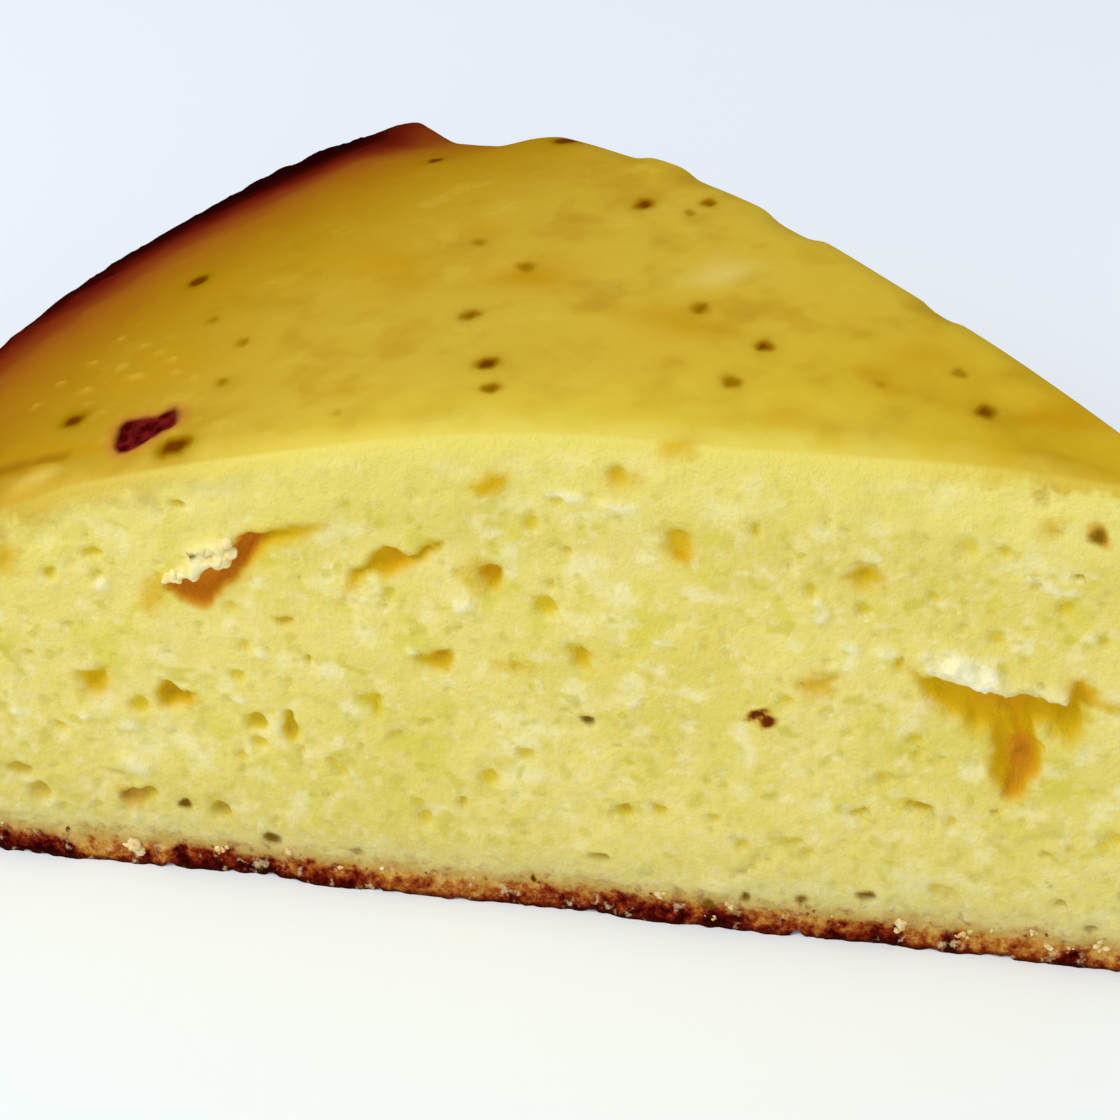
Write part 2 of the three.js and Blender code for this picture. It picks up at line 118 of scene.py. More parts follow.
# Tears in the front cut, where bubbles ran together, and its uneven holes: outline as distance
# from the tip and height, depth, and how wide the sloping walls are
FRONT_TEARS = [
    ([(80.4, 30.2), (78.5, 29.2), (77.4, 28.5), (76.1, 29.9), (74.6, 31.4), (73.1, 33.3),
      (71.5, 35.1), (69.6, 36.2), (67.3, 37.5), (69.7, 37.2), (71.7, 36.6), (73.4, 36.0),
      (74.3, 34.6), (74.9, 32.8), (76.3, 32.2), (77.4, 31.3), (78.8, 30.7)], 1.3, 1.3),
    ([(80.5, 30.2), (78.8, 31.2), (77.4, 31.9), (76.3, 32.8), (75.1, 33.4), (74.8, 34.4),
      (73.4, 35.9), (71.9, 36.1), (72.8, 34.3), (74.4, 32.0), (76.0, 29.9), (77.3, 28.1),
      (79.0, 28.7), (80.3, 29.5)], 1.8, 0.8),
    ([(65.3, 33.5), (64.5, 34.2), (63.5, 35.4), (62.7, 36.2), (61.7, 36.2), (60.9, 35.3),
      (59.0, 36.9), (57.8, 37.1), (59.0, 35.5), (60.4, 34.5), (62.5, 33.2), (64.2, 33.2),
      (65.5, 31.8)], 1.2, 1.0),
    ([(22.2, 29.3), (21.6, 28.0), (21.1, 27.1), (20.1, 25.5), (19.1, 25.0), (18.0, 24.6),
      (17.0, 23.3), (15.9, 23.7), (15.4, 22.0), (15.5, 20.5), (14.9, 18.4), (14.1, 17.5),
      (13.2, 17.5), (12.7, 18.4), (12.3, 20.0), (11.7, 21.0), (11.8, 22.5), (12.2, 23.4),
      (12.6, 24.1), (12.3, 24.6), (11.3, 25.0), (10.5, 24.2), (9.6, 23.3), (9.1, 23.6),
      (8.6, 25.4), (8.5, 26.9), (8.3, 28.2), (8.8, 29.4), (9.7, 29.8), (10.0, 28.2),
      (12.0, 28.2), (14.5, 28.2), (16.2, 28.0), (18.3, 28.6), (20.4, 28.6), (21.2, 28.8)],
     1.5, 1.5),
    ([(16.2, 27.8), (12.4, 27.8), (11.3, 26.4), (12.2, 25.2), (12.0, 23.6), (11.4, 22.5),
      (11.3, 20.9), (11.9, 19.2), (12.3, 17.6), (13.0, 16.9), (14.1, 17.0), (14.5, 18.4),
      (14.3, 21.0), (14.4, 23.0), (15.6, 25.2)], 2.0, 1.1),
    ([(89.0, 20.4), (87.6, 20.9), (85.8, 21.1), (86.1, 18.6), (87.3, 17.6), (88.5, 18.1)],
     1.0, 1.3),
    ([(82.5, 18.4), (81.5, 20.4), (80.3, 19.6), (78.9, 18.8), (79.4, 17.9), (81.2, 17.0),
      (82.4, 17.1)], 1.5, 1.2),
    ([(86.1, 7.4), (85.1, 8.3), (83.8, 8.7), (83.0, 7.9), (84.6, 6.5), (85.8, 6.5)], 1.4, 0.8),
    ([(55.5, 34.7), (54.7, 35.3), (53.5, 35.2), (53.3, 34.1), (53.9, 32.6), (54.9, 32.3)],
     1.1, 0.8),
    ([(41.3, 40.2), (40.6, 40.8), (39.6, 40.8), (38.9, 40.0), (38.8, 38.6), (39.2, 37.4),
      (40.1, 37.0), (40.9, 37.5), (41.3, 38.8)], 0.6, 1.0),
    ([(48.5, 27.7), (47.4, 28.3), (46.3, 27.5), (46.7, 26.0), (48.2, 26.1)], 0.7, 0.8),
    ([(61.1, 25.3), (58.9, 26.6), (57.8, 26.5), (57.3, 25.6), (57.8, 24.3), (59.4, 24.3)],
     0.9, 1.0),
    ([(28.2, 37.0), (26.6, 39.0), (25.4, 39.0), (24.3, 37.6), (24.5, 36.4), (26.8, 36.0)],
     0.6, 1.2),
    ([(31.2, 27.0), (29.2, 27.6), (27.4, 28.4), (27.6, 26.2), (30.0, 25.5)], 0.45, 1.1),
    ([(21.6, 15.6), (19.4, 15.3), (19.2, 14.7), (20.4, 14.4)], 0.9, 0.5),
    ([(71.9, 27.9), (70.2, 28.5), (70.0, 27.6), (71.2, 27.2)], 0.7, 0.6),
]
BACK_TEARS = [
    ([(87.4, 21.2), (85.0, 22.0), (83.2, 23.4), (80.6, 22.8), (78.6, 24.2), (76.0, 24.6),
      (77.2, 22.8), (79.0, 21.6), (80.2, 19.8), (82.4, 20.4), (84.4, 19.4)], 2.2, 1.0),
    ([(38.8, 32.0), (35.4, 32.4), (32.4, 31.2), (29.2, 32.2), (26.8, 31.6), (29.4, 30.2),
      (30.6, 28.2), (31.6, 25.6), (33.2, 26.4), (33.4, 28.8), (36.2, 29.6)], 2.2, 1.0),
    ([(58.4, 40.0), (55.4, 39.4), (53.0, 40.4), (54.2, 38.2), (57.2, 38.0)], 1.2, 0.8),
    ([(66.8, 12.4), (64.8, 13.0), (64.2, 11.4), (65.8, 10.8)], 1.1, 0.8),
    ([(19.8, 14.0), (17.2, 14.8), (16.6, 13.0), (18.4, 12.4)], 1.2, 0.8),
]
BACK_LIPS = [
    ([(86.0, 22.6), (83.2, 24.2), (79.6, 24.6), (79.8, 23.4), (83.0, 22.8), (85.2, 21.8)],
     0.5, 0.5),
    ([(38.4, 32.8), (34.2, 33.6), (30.6, 33.0), (31.6, 31.6), (35.2, 31.8), (38.0, 31.4)],
     0.5, 0.7),
]
BACK_FLECKS = [(71.4, 18.6, 1.5, 0.8, 25.0), (24.8, 38.4, 1.1, 0.8, -15.0)]
BACK_HOLES, BACK_PITS, BACK_BUMPS, STREW_SEED = 44, 9, 34, 17
# Painted light and shade round the tears, ochre where light soaks through the crumb and brown where
# the hollows are shaded: outline, how soft its edge is, and how ochre and how brown the crumb is
# painted
FRONT_HOLLOW_SHADING = [
    ([(80.4, 30.2), (78.5, 29.2), (77.4, 28.4), (76.1, 29.7), (74.6, 31.2), (73.1, 33.1),
      (71.5, 34.9), (69.6, 36.0), (67.0, 37.5), (69.7, 37.3), (71.7, 36.8), (73.4, 36.2),
      (74.3, 34.6), (74.9, 32.8), (76.3, 32.2), (77.4, 31.3), (78.8, 30.7)], 0.7, 1.0, 0.0),
    (FRONT_TEARS[1][0], 0.35, 1.0, 1.0), (FRONT_TEARS[5][0], 0.8, 0.7, 0.0),
    ([(82.0, 30.8), (80.7, 31.3), (80.1, 30.4), (80.6, 28.7), (81.7, 27.2), (82.7, 27.7),
      (82.3, 29.5)], 0.9, 0.8, 0.0),
    ([(65.3, 33.5), (64.5, 34.2), (63.5, 35.4), (62.7, 36.2), (61.7, 36.2), (60.9, 35.3),
      (59.0, 36.9), (57.8, 37.1), (59.0, 35.5), (60.4, 34.5), (62.5, 33.2), (64.2, 33.2),
      (65.3, 31.6), (66.6, 30.1), (66.4, 30.4), (65.8, 31.7)], 0.5, 0.9, 0.0),
    ([(62.9, 34.2), (62.3, 35.4), (61.3, 35.2), (61.0, 34.2)], 0.7, 1.0, 0.4),
    ([(22.6, 29.8), (21.7, 28.0), (21.1, 27.1), (20.1, 25.3), (19.1, 24.7), (18.0, 24.4),
      (17.0, 22.9), (15.9, 23.2), (15.5, 22.0), (15.6, 20.5), (15.0, 18.2), (14.1, 17.2),
      (13.1, 17.2), (12.5, 18.2), (12.1, 19.9), (11.5, 21.0), (11.6, 22.6), (12.2, 24.2),
      (11.3, 24.7), (10.5, 23.9), (9.5, 22.8), (8.9, 23.5), (8.4, 25.4), (8.1, 28.2),
      (8.6, 29.6), (9.9, 29.9), (10.0, 28.0), (14.5, 28.0), (18.3, 28.3), (21.4, 28.8)],
     0.7, 0.65, 0.0),
    ([(20.6, 28.2), (16.2, 27.8), (12.0, 27.6), (9.2, 28.6), (8.7, 26.4), (9.6, 25.0),
      (12.2, 25.4), (12.3, 24.2), (11.8, 22.6), (11.7, 20.8), (12.6, 17.8), (14.1, 17.4),
      (15.3, 19.2), (15.4, 22.4), (15.9, 24.4), (17.8, 25.4)], 0.7, 1.0, 0.0),
    ([(10.2, 29.4), (9.0, 30.0), (8.0, 29.0), (7.9, 27.4), (9.6, 27.4)], 0.6, 1.0, 0.3),
    ([(17.2, 27.6), (14.4, 27.4), (13.3, 26.2), (14.1, 25.0), (16.1, 25.0), (17.3, 26.0)],
     0.9, 1.0, 0.4),
    ([(13.9, 22.4), (12.9, 22.6), (12.0, 21.4), (11.9, 20.0), (12.3, 18.9), (13.2, 18.6),
      (13.8, 19.6), (14.0, 21.0)], 0.6, 1.0, 0.85),
    ([(13.6, 18.8), (12.0, 18.6), (12.6, 17.2), (13.4, 16.8), (14.1, 17.3)], 0.6, 1.0, 0.45),
    ([(8.9, 28.6), (6.2, 27.8), (4.6, 27.5), (4.6, 26.9), (6.2, 27.0), (8.6, 27.4)],
     0.5, 0.85, 0.0),
    ([(57.3, 33.9), (55.9, 35.9), (54.7, 35.7), (53.6, 35.0), (53.6, 33.5), (54.8, 32.1),
      (55.6, 32.4)], 0.6, 0.6, 0.0),
    ([(55.3, 34.3), (54.7, 34.9), (53.8, 34.9), (53.6, 34.1), (54.1, 33.3), (54.9, 33.1)],
     0.4, 1.0, 0.25),
    ([(40.8, 38.2), (39.0, 38.4), (39.4, 37.2), (40.4, 37.2)], 0.5, 1.0, 0.25),
    ([(59.4, 25.9), (58.2, 26.2), (58.4, 25.2), (59.3, 25.2)], 0.4, 1.0, 0.4),
    ([(80.3, 18.4), (78.7, 18.3), (79.6, 17.6)], 0.5, 1.0, 0.25),
    ([(86.4, 8.2), (84.8, 8.2), (84.4, 6.2), (85.9, 5.8)], 0.5, 1.0, 0.45),
    ([(20.9, 15.8), (21.7, 15.7), (21.4, 14.9)], 0.4, 1.0, 0.2),
    ([(69.9, 28.3), (70.8, 28.1), (70.6, 27.6)], 0.4, 1.0, 0.2),
    ([(54.4, 25.9), (51.0, 26.0), (51.2, 25.2), (54.2, 25.1)], 0.6, 0.6, 0.0),
    ([(56.2, 42.6), (54.4, 44.0), (53.0, 44.0), (53.4, 42.4), (55.4, 41.6)], 0.7, 1.0, 0.0),
    ([(46.0, 44.0), (45.2, 45.4), (43.2, 45.8), (42.8, 44.4), (44.6, 43.6)], 0.9, 0.6, 0.0),
    ([(31.0, 26.8), (29.2, 28.2), (27.4, 27.4), (27.8, 26.0), (29.4, 25.3)], 0.9, 0.8, 0.0),
    ([(94.6, 33.0), (92.2, 32.5), (92.4, 30.1), (94.6, 29.1)], 1.2, 0.85, 0.0),
    ([(13.8, 44.4), (12.0, 44.8), (12.2, 43.2), (13.4, 43.0)], 0.7, 0.7, 0.0),
    ([(10.1, 44.3), (9.4, 44.5), (8.6, 43.3), (8.5, 42.7), (9.0, 42.6), (9.9, 43.3)],
     0.4, 0.8, 0.7),
    ([(42.0, 50.0), (39.3, 50.0), (39.4, 47.2), (41.6, 47.0)], 0.8, 0.9, 0.0),
]
# The crumbly lips that stand over the tears: outline, how far they stand out, and how pale they are
# painted for their highlights
FRONT_LIPS = [
    ([(80.6, 30.6), (79.9, 31.6), (78.7, 32.1), (78.2, 33.0), (78.5, 33.9), (77.5, 34.6),
      (76.1, 35.1), (75.2, 34.8), (74.9, 33.9), (75.1, 33.0), (75.7, 32.4), (76.5, 32.6),
      (77.3, 31.7), (78.2, 31.1), (79.2, 31.1), (80.2, 30.4)], 0.7, 0.55),
    ([(21.5, 30.6), (20.9, 31.0), (20.0, 31.2), (18.9, 31.5), (17.3, 31.0), (15.8, 30.3),
      (15.2, 29.4), (15.4, 28.4), (16.0, 27.4), (16.8, 28.0), (18.6, 28.3), (19.3, 27.9),
      (20.2, 28.4), (20.8, 29.0), (21.5, 29.8)], 0.6, 1.0),
    ([(15.8, 29.9), (15.2, 29.4), (13.5, 29.3), (12.1, 29.0), (11.0, 29.2), (10.3, 28.8),
      (9.7, 27.6), (10.6, 27.2), (12.0, 27.5), (13.3, 27.8), (14.7, 27.4), (16.0, 27.4)],
     0.5, 0.4),
]
# Single air holes of the front cut: distance from the tip, height, width, height, depth
FRONT_HOLES = [
    (74.1, 16.6, 1.9, 1.8, 0.9), (71.2, 16.6, 1.3, 3.3, 1.1), (64.0, 20.1, 1.2, 2.7, 0.7),
    (94.9, 9.2, 2.3, 1.4, 0.9), (93.5, 6.9, 1.7, 2.2, 1.0), (77.7, 6.6, 1.7, 1.7, 1.4),
    (69.1, 24.1, 0.9, 1.2, 0.6), (74.4, 24.9, 1.3, 0.9, 0.4), (89.9, 30.3, 1.2, 1.4, 0.6),
    (78.9, 38.0, 1.6, 1.0, 0.6), (86.1, 32.7, 1.8, 0.9, 0.55), (92.3, 22.0, 0.9, 0.9, 0.4),
    (51.4, 39.4, 1.2, 1.6, 0.5), (48.6, 37.1, 1.2, 0.9, 0.5), (44.7, 44.8, 1.6, 1.6, 0.5),
    (34.3, 41.1, 1.0, 1.8, 0.5), (30.1, 35.8, 1.1, 1.6, 0.5), (18.6, 41.2, 2.0, 1.9, 0.4),
    (25.1, 14.0, 1.9, 0.8, 0.6), (21.2, 22.0, 1.4, 1.4, 0.5), (11.0, 36.2, 1.4, 1.4, 0.5),
    (10.5, 39.6, 0.9, 0.6, 0.6), (8.4, 6.3, 1.4, 0.7, 0.8), (10.1, 11.7, 1.1, 0.7, 0.5),
    (14.4, 15.2, 0.8, 0.7, 0.5), (60.3, 8.5, 1.7, 1.9, 0.6), (54.9, 13.3, 1.9, 1.6, 0.6),
    (57.0, 10.7, 1.0, 1.3, 0.65), (43.9, 11.4, 1.4, 1.2, 0.9), (41.0, 12.0, 1.3, 1.0, 0.65),
    (30.0, 10.3, 1.9, 1.0, 0.5), (45.9, 6.0, 1.8, 1.1, 0.9), (33.9, 6.6, 1.3, 1.0, 0.5),
    (67.0, 12.6, 1.2, 1.5, 0.4), (90.8, 14.2, 1.6, 1.3, 0.5), (99.0, 17.5, 2.2, 2.0, 0.8),
    (102.5, 11.0, 1.6, 1.4, 0.6), (22.9, 29.3, 0.8, 1.6, 0.6), (5.2, 33.0, 1.4, 1.6, 0.5),
    (4.6, 14.0, 1.5, 1.2, 0.5), (20.4, 14.9, 1.2, 0.8, 0.5),
]
# Narrow pits of the front cut, dark with painted shade: distance from the tip, height, width,
# height, darkness
FRONT_PITS = [
    (80.8, 7.0, 1.2, 1.0, 1.0), (73.5, 4.3, 1.5, 1.5, 0.9), (77.9, 33.6, 0.8, 0.8, 0.8),
    (29.2, 4.0, 1.1, 1.2, 0.8), (23.9, 5.2, 1.7, 1.1, 0.9), (46.9, 20.4, 1.0, 1.0, 0.8),
    (33.8, 3.5, 1.1, 1.2, 0.9), (66.2, 4.2, 1.6, 1.0, 0.6), (45.9, 6.1, 1.8, 0.9, 0.45),
    (86.0, 7.4, 1.4, 1.2, 0.5), (36.8, 2.4, 1.1, 1.2, 0.8), (5.9, 4.2, 1.5, 0.8, 0.6),
    (8.5, 27.4, 1.4, 1.0, 0.4), (12.2, 29.3, 0.8, 0.6, 0.4), (58.6, 26.0, 1.2, 0.9, 0.35),
    (86.5, 9.9, 1.8, 0.8, 0.35), (44.6, 18.4, 0.9, 0.7, 0.35), (9.35, 43.4, 1.4, 1.6, 0.72),
    (12.9, 20.6, 1.8, 2.2, 0.35),
]
# Raised crumbs of the front cut, painted pale for their highlights: distance from the tip, height,
# width, height
FRONT_BUMPS = [
    (48.6, 42.5, 3.6, 1.3), (44.6, 42.1, 3.4, 1.2), (56.6, 31.2, 1.9, 1.4), (40.9, 29.6, 2.3, 1.0),
    (29.0, 33.4, 1.5, 1.5), (26.8, 30.8, 1.7, 1.5), (13.2, 38.7, 2.4, 0.9), (10.9, 38.0, 1.8, 0.9),
    (85.5, 29.7, 1.6, 1.6), (84.9, 15.2, 2.2, 1.5), (75.3, 19.0, 1.3, 1.1), (94.5, 15.7, 1.5, 1.3),
    (88.5, 15.6, 1.4, 1.2), (73.0, 24.3, 1.0, 1.5), (60.8, 26.4, 1.3, 0.8), (67.0, 15.8, 1.0, 1.3),
    (84.6, 11.0, 3.6, 2.6), (23.9, 30.6, 2.6, 1.5), (29.3, 34.7, 1.1, 1.6), (12.2, 38.0, 2.0, 1.4),
    (43.2, 23.3, 1.3, 1.3), (75.4, 18.9, 1.1, 1.0), (85.2, 4.9, 1.2, 2.4), (74.3, 5.5, 1.0, 2.2),
    (91.6, 1.9, 3.0, 1.2), (84.6, 3.0, 1.8, 1.6), (36.0, 4.6, 3.0, 2.2), (7.0, 3.0, 3.4, 1.4),
    (79.7, 30.8, 1.3, 1.1), (78.2, 31.5, 1.3, 1.1), (76.6, 32.4, 1.4, 1.2), (76.6, 34.2, 1.4, 1.1),
    (78.9, 31.9, 1.0, 0.8),
]
# Flecks of browned crust caught in the front cut: distance from the tip, height, long and short
# width, and lean in degrees
FRONT_FLECKS = [
    (33.6, 23.4, 1.7, 0.8, -30.0), (32.7, 22.7, 1.2, 0.9, -10.0),
    (51.4, 2.9, 0.5, 1.0, 0.0), (55.4, 2.6, 0.3, 0.5, 0.0),
]
# How brown the bottom crust is along the front cut, from 0, maroon, to 1, light tan: distance
# from the tip and tone
BASE_TONES = [
    (3.0, 0.7), (5.5, 0.8), (6.4, 0.1), (7.9, 0.1), (8.6, 0.8), (12.0, 0.75), (16.0, 0.8),
    (16.8, 0.0), (17.3, 0.1), (17.8, 0.65), (20.4, 0.65), (21.0, 0.2), (22.6, 0.35), (26.5, 0.4),
    (27.6, 0.8), (29.6, 0.45), (32.0, 0.8), (34.1, 0.0), (36.8, 0.1), (38.0, 0.8), (39.0, 0.15),
    (45.7, 0.25), (49.1, 0.4), (54.1, 0.6), (58.4, 0.9), (62.6, 0.65), (68.6, 0.35), (75.4, 0.2),
    (79.7, 0.1), (82.0, 0.05), (83.2, 0.7), (85.4, 0.3), (87.0, 0.75), (90.4, 0.85), (91.4, 0.1),
    (97.0, 0.05), (110.0, 0.1),
]
# Pinholes of the top skin, their middles dark with painted shade: distance from the tip, degrees
# from the front cut, width, darkness
PINHOLES = [
    (90.6, 20.1, 2.9, 1.0), (84.3, 15.1, 1.6, 0.45), (79.1, 12.2, 1.6, 0.5),
    (90.3, 6.2, 2.5, 1.0), (66.9, 3.5, 1.5, 0.3), (85.0, 36.6, 2.2, 1.0), (61.6, 16.7, 1.9, 0.7),
    (57.0, 9.9, 1.9, 0.95), (55.7, 6.1, 1.7, 0.7), (67.5, 26.6, 1.5, 0.45),
    (61.3, 24.6, 1.8, 0.55), (76.6, 42.4, 3.2, 1.0), (59.5, 36.8, 2.0, 0.9),
    (55.1, 40.0, 1.6, 0.75), (55.0, 37.6, 1.4, 0.45), (44.6, 23.4, 1.9, 0.65),
    (37.5, 19.8, 1.8, 0.85), (38.2, 11.8, 1.8, 0.6), (23.6, 29.0, 1.4, 0.5),
    (19.7, 21.1, 1.8, 0.85), (27.8, 18.9, 1.3, 0.3), (78.4, 8.0, 1.6, 0.5),
    (79.9, 1.95, 2.4, 0.95), (79.1, 1.95, 2.4, 1.0),
]
# Ochre clouds in the top skin, and two that are pale: distance from the tip, degrees, half width
# along the front cut and across it, and strength
CLOUDS = [
    (60.5, 23.4, 3.2, 2.8, 0.8), (45.6, 20.9, 3.6, 2.6, 0.6), (26.2, 28.7, 2.8, 2.8, 0.45),
    (15.2, 35.6, 3.4, 2.6, 0.55), (17.1, 25.2, 4.0, 1.8, 0.55), (72.0, 21.6, 3.0, 4.0, 0.6),
    (68.9, 27.9, 2.0, 2.0, 0.4), (27.5, 19.1, 1.4, 1.2, 0.5), (32.7, 6.5, 3.0, 1.2, 0.4),
    (67.6, 6.5, 3.0, 1.2, 0.35), (46.0, 30.0, 3.4, 2.0, -0.7), (89.8, 3.4, 4.0, 1.2, 0.7),
    (78.0, 22.0, 4.0, 3.0, 0.4), (83.0, 10.0, 6.0, 5.0, 0.35), (40.4, 0.4, 1.7, 1.3, 0.6),
    (91.2, 1.8, 1.8, 0.9, -0.7),
]
# The scar where a bubble burst and browned, as an outline of distance from the tip and degrees
# from the front cut
SCARS = [
    [(84.8, 2.7), (85.2, 3.6), (85.4, 4.6), (85.0, 5.2), (84.0, 5.3), (82.7, 5.2), (81.9, 5.5),
     (81.4, 5.9), (80.6, 5.3), (80.2, 4.5), (80.5, 4.0), (81.1, 3.7), (81.5, 3.3), (82.0, 2.8),
     (82.6, 2.4), (83.3, 2.1), (84.0, 2.1)],
]
# Small blisters of the top skin: distance from the tip, degrees, width
BLISTERS = [
    (93.0, 12.0, 1.0), (86.5, 11.95, 0.9), (86.9, 9.75, 1.2), (83.4, 9.6, 1.1), (91.2, 9.1, 1.0),
    (87.6, 9.7, 1.0), (80.0, 3.3, 1.3), (85.8, 5.6, 0.8), (86.0, 3.7, 0.9), (82.0, 2.7, 1.6),
    (88.9, 13.0, 1.0), (84.8, 11.0, 1.0), (94.6, 10.4, 1.0), (89.4, 11.0, 1.1), (95.4, 8.6, 0.9),
    (90.0, 7.6, 0.9), (88.2, 6.4, 0.8), (81.4, 8.9, 0.9), (92.4, 14.2, 0.9),
    (90.6, 1.8, 2.4), (91.7, 1.1, 1.6), (89.6, 2.0, 1.3),
]
# Folds that the knife pressed into the skin, painted darker for the shade in their creases: points
# as distance from the tip and degrees, width
FOLDS = [
    ([(96.2, 2.5), (94.6, 2.78), (92.6, 2.85)], 1.0),
    ([(91.3, 2.9), (89.3, 2.85)], 0.7),
]


def dome_height(radius):
    """Height of the top skin at a radius, before its waves and dents."""
    share = np.clip(radius / CAKE_RADIUS, 0, 1)
    shoulder = 1 - np.sqrt(np.maximum(1 - share ** SHOULDER_POWER, 0))
    sink = SINK_DEPTH * np.exp(-((radius / SINK_RADIUS) ** 2))
    return DOME_HEIGHT - DOME_DROP * share ** DOME_POWER - SHOULDER_DROP * shoulder - sink


def top_height(radius, angle):
    """Height of the finished top skin at a radius and an angle from the front cut."""
    wave = np.sin(radius / TOP_WAVE_LENGTH * 2 * math.pi)
    wave = TOP_WAVE * wave * np.cos(angle * TOP_WAVE_TURNS + TOP_WAVE_PHASE)
    away = [radius * np.sin(angle), radius * np.sin(SLICE_ANGLE - angle)]
    near = np.maximum(1 - np.minimum(*away) / CUT_EDGE_REACH, 0)
    height = dome_height(radius) + wave - CUT_EDGE_ROUNDING * near ** 2
    for cut, middle, width, drop, reach in CRUST_DENTS:
        along = np.exp(-(((radius - middle) / (width / 2)) ** 4))
        height = height - drop * along * np.maximum(1 - away[cut] / reach, 0) ** 1.5
    return height


def cut_wave(radius, height, phase):
    """How far the knife's cut wanders out of its plane."""
    turn = 2 * math.pi / CUT_WAVE_LENGTH
    wave = np.sin(radius * turn + phase) + np.sin(height * turn * 1.7 - phase)
    return 0.5 * CUT_WAVE * wave


HALF = SLICE_ANGLE / 2
CUT_OUT = [Vector((math.sin(HALF), side * math.cos(HALF), 0)) for side in (-1, 1)]


def skin_point(radius, across, height, reliefs=(0.0, 0.0)):
    """A point of the slice. across runs from the front cut, 0, to the back cut, 1, and the
    reliefs stand out of the two cuts."""
    lean = TIN_TAPER * (1 - np.minimum(height / dome_height(CAKE_RADIUS), 1))
    under = BASE_ROUNDING * np.maximum(1 - height / BASE_ROUNDING, 0) ** 2
    reach = radius - (lean + under) * (radius / CAKE_RADIUS) ** TIN_TAPER_POWER
    turn = across * SLICE_ANGLE - HALF
    fade = np.minimum(radius / CUT_WAVE_FADE, 1)
    x, y = -reach * np.cos(turn), reach * np.sin(turn)
    for out, phase, share, relief in zip(CUT_OUT, CUT_WAVE_PHASES, (1 - across, across), reliefs):
        stand = cut_wave(radius, height, phase) * share * fade + relief
        x, y = x + stand * out.x, y + stand * out.y
    return np.stack([x, y, height + 0 * x], axis=-1)


def mottle(a, b, size, seed):
    """Smooth noise from -1 to 1 over a grid of places in mm, with spots of the given size. Each
    seed takes a layer of its own through the noise."""
    flat = [
        noise.noise((u, v, seed * 7.31)) for u, v in zip((a / size).ravel(), (b / size).ravel())
    ]
    return np.array(flat).reshape(a.shape)


def mottles(a, b, seed, *layers):
    """A sum of noises, each with its height and its size in mm, on seeds from the given one up."""
    return sum(height * mottle(a, b, size, seed + i) for i, (height, size) in enumerate(layers))


def strayed(a, b, seed, way, size):
    """Places moved by noise, so that what is laid out on them gets uneven edges."""
    return a + way * mottle(a, b, size, seed), b + way * mottle(a, b, size, seed + 1)


def from_line(a, b, start, end):
    """The distance of each place from a line between two points."""
    (x0, y0), (x1, y1) = start, end
    length = (x1 - x0) ** 2 + (y1 - y0) ** 2
    share = np.clip(((a - x0) * (x1 - x0) + (b - y0) * (y1 - y0)) / length, 0, 1)
    return np.hypot(a - x0 - share * (x1 - x0), b - y0 - share * (y1 - y0))


def inside(a, b, outline):
    """How far each place is inside an outline, in mm. Places outside it come out negative."""
    nearest = np.full(a.shape, 1e9)
    crossings = np.zeros(a.shape, bool)
    for start, end in zip(outline, outline[1:] + outline[:1]):
        nearest = np.minimum(nearest, from_line(a, b, start, end))
        (x0, y0), (x1, y1) = start, end
        if y0 != y1:
            crossing = (b > min(y0, y1)) & (b <= max(y0, y1))
            crossings ^= crossing & (a < x0 + (b - y0) / (y1 - y0) * (x1 - x0))
    return np.where(crossings, nearest, -nearest)


def smooth(low, high, value):
    """0 at one value, 1 at the other, and smooth between."""
    share = np.clip((value - low) / (high - low), 0, 1)
    return share * share * (3 - 2 * share)


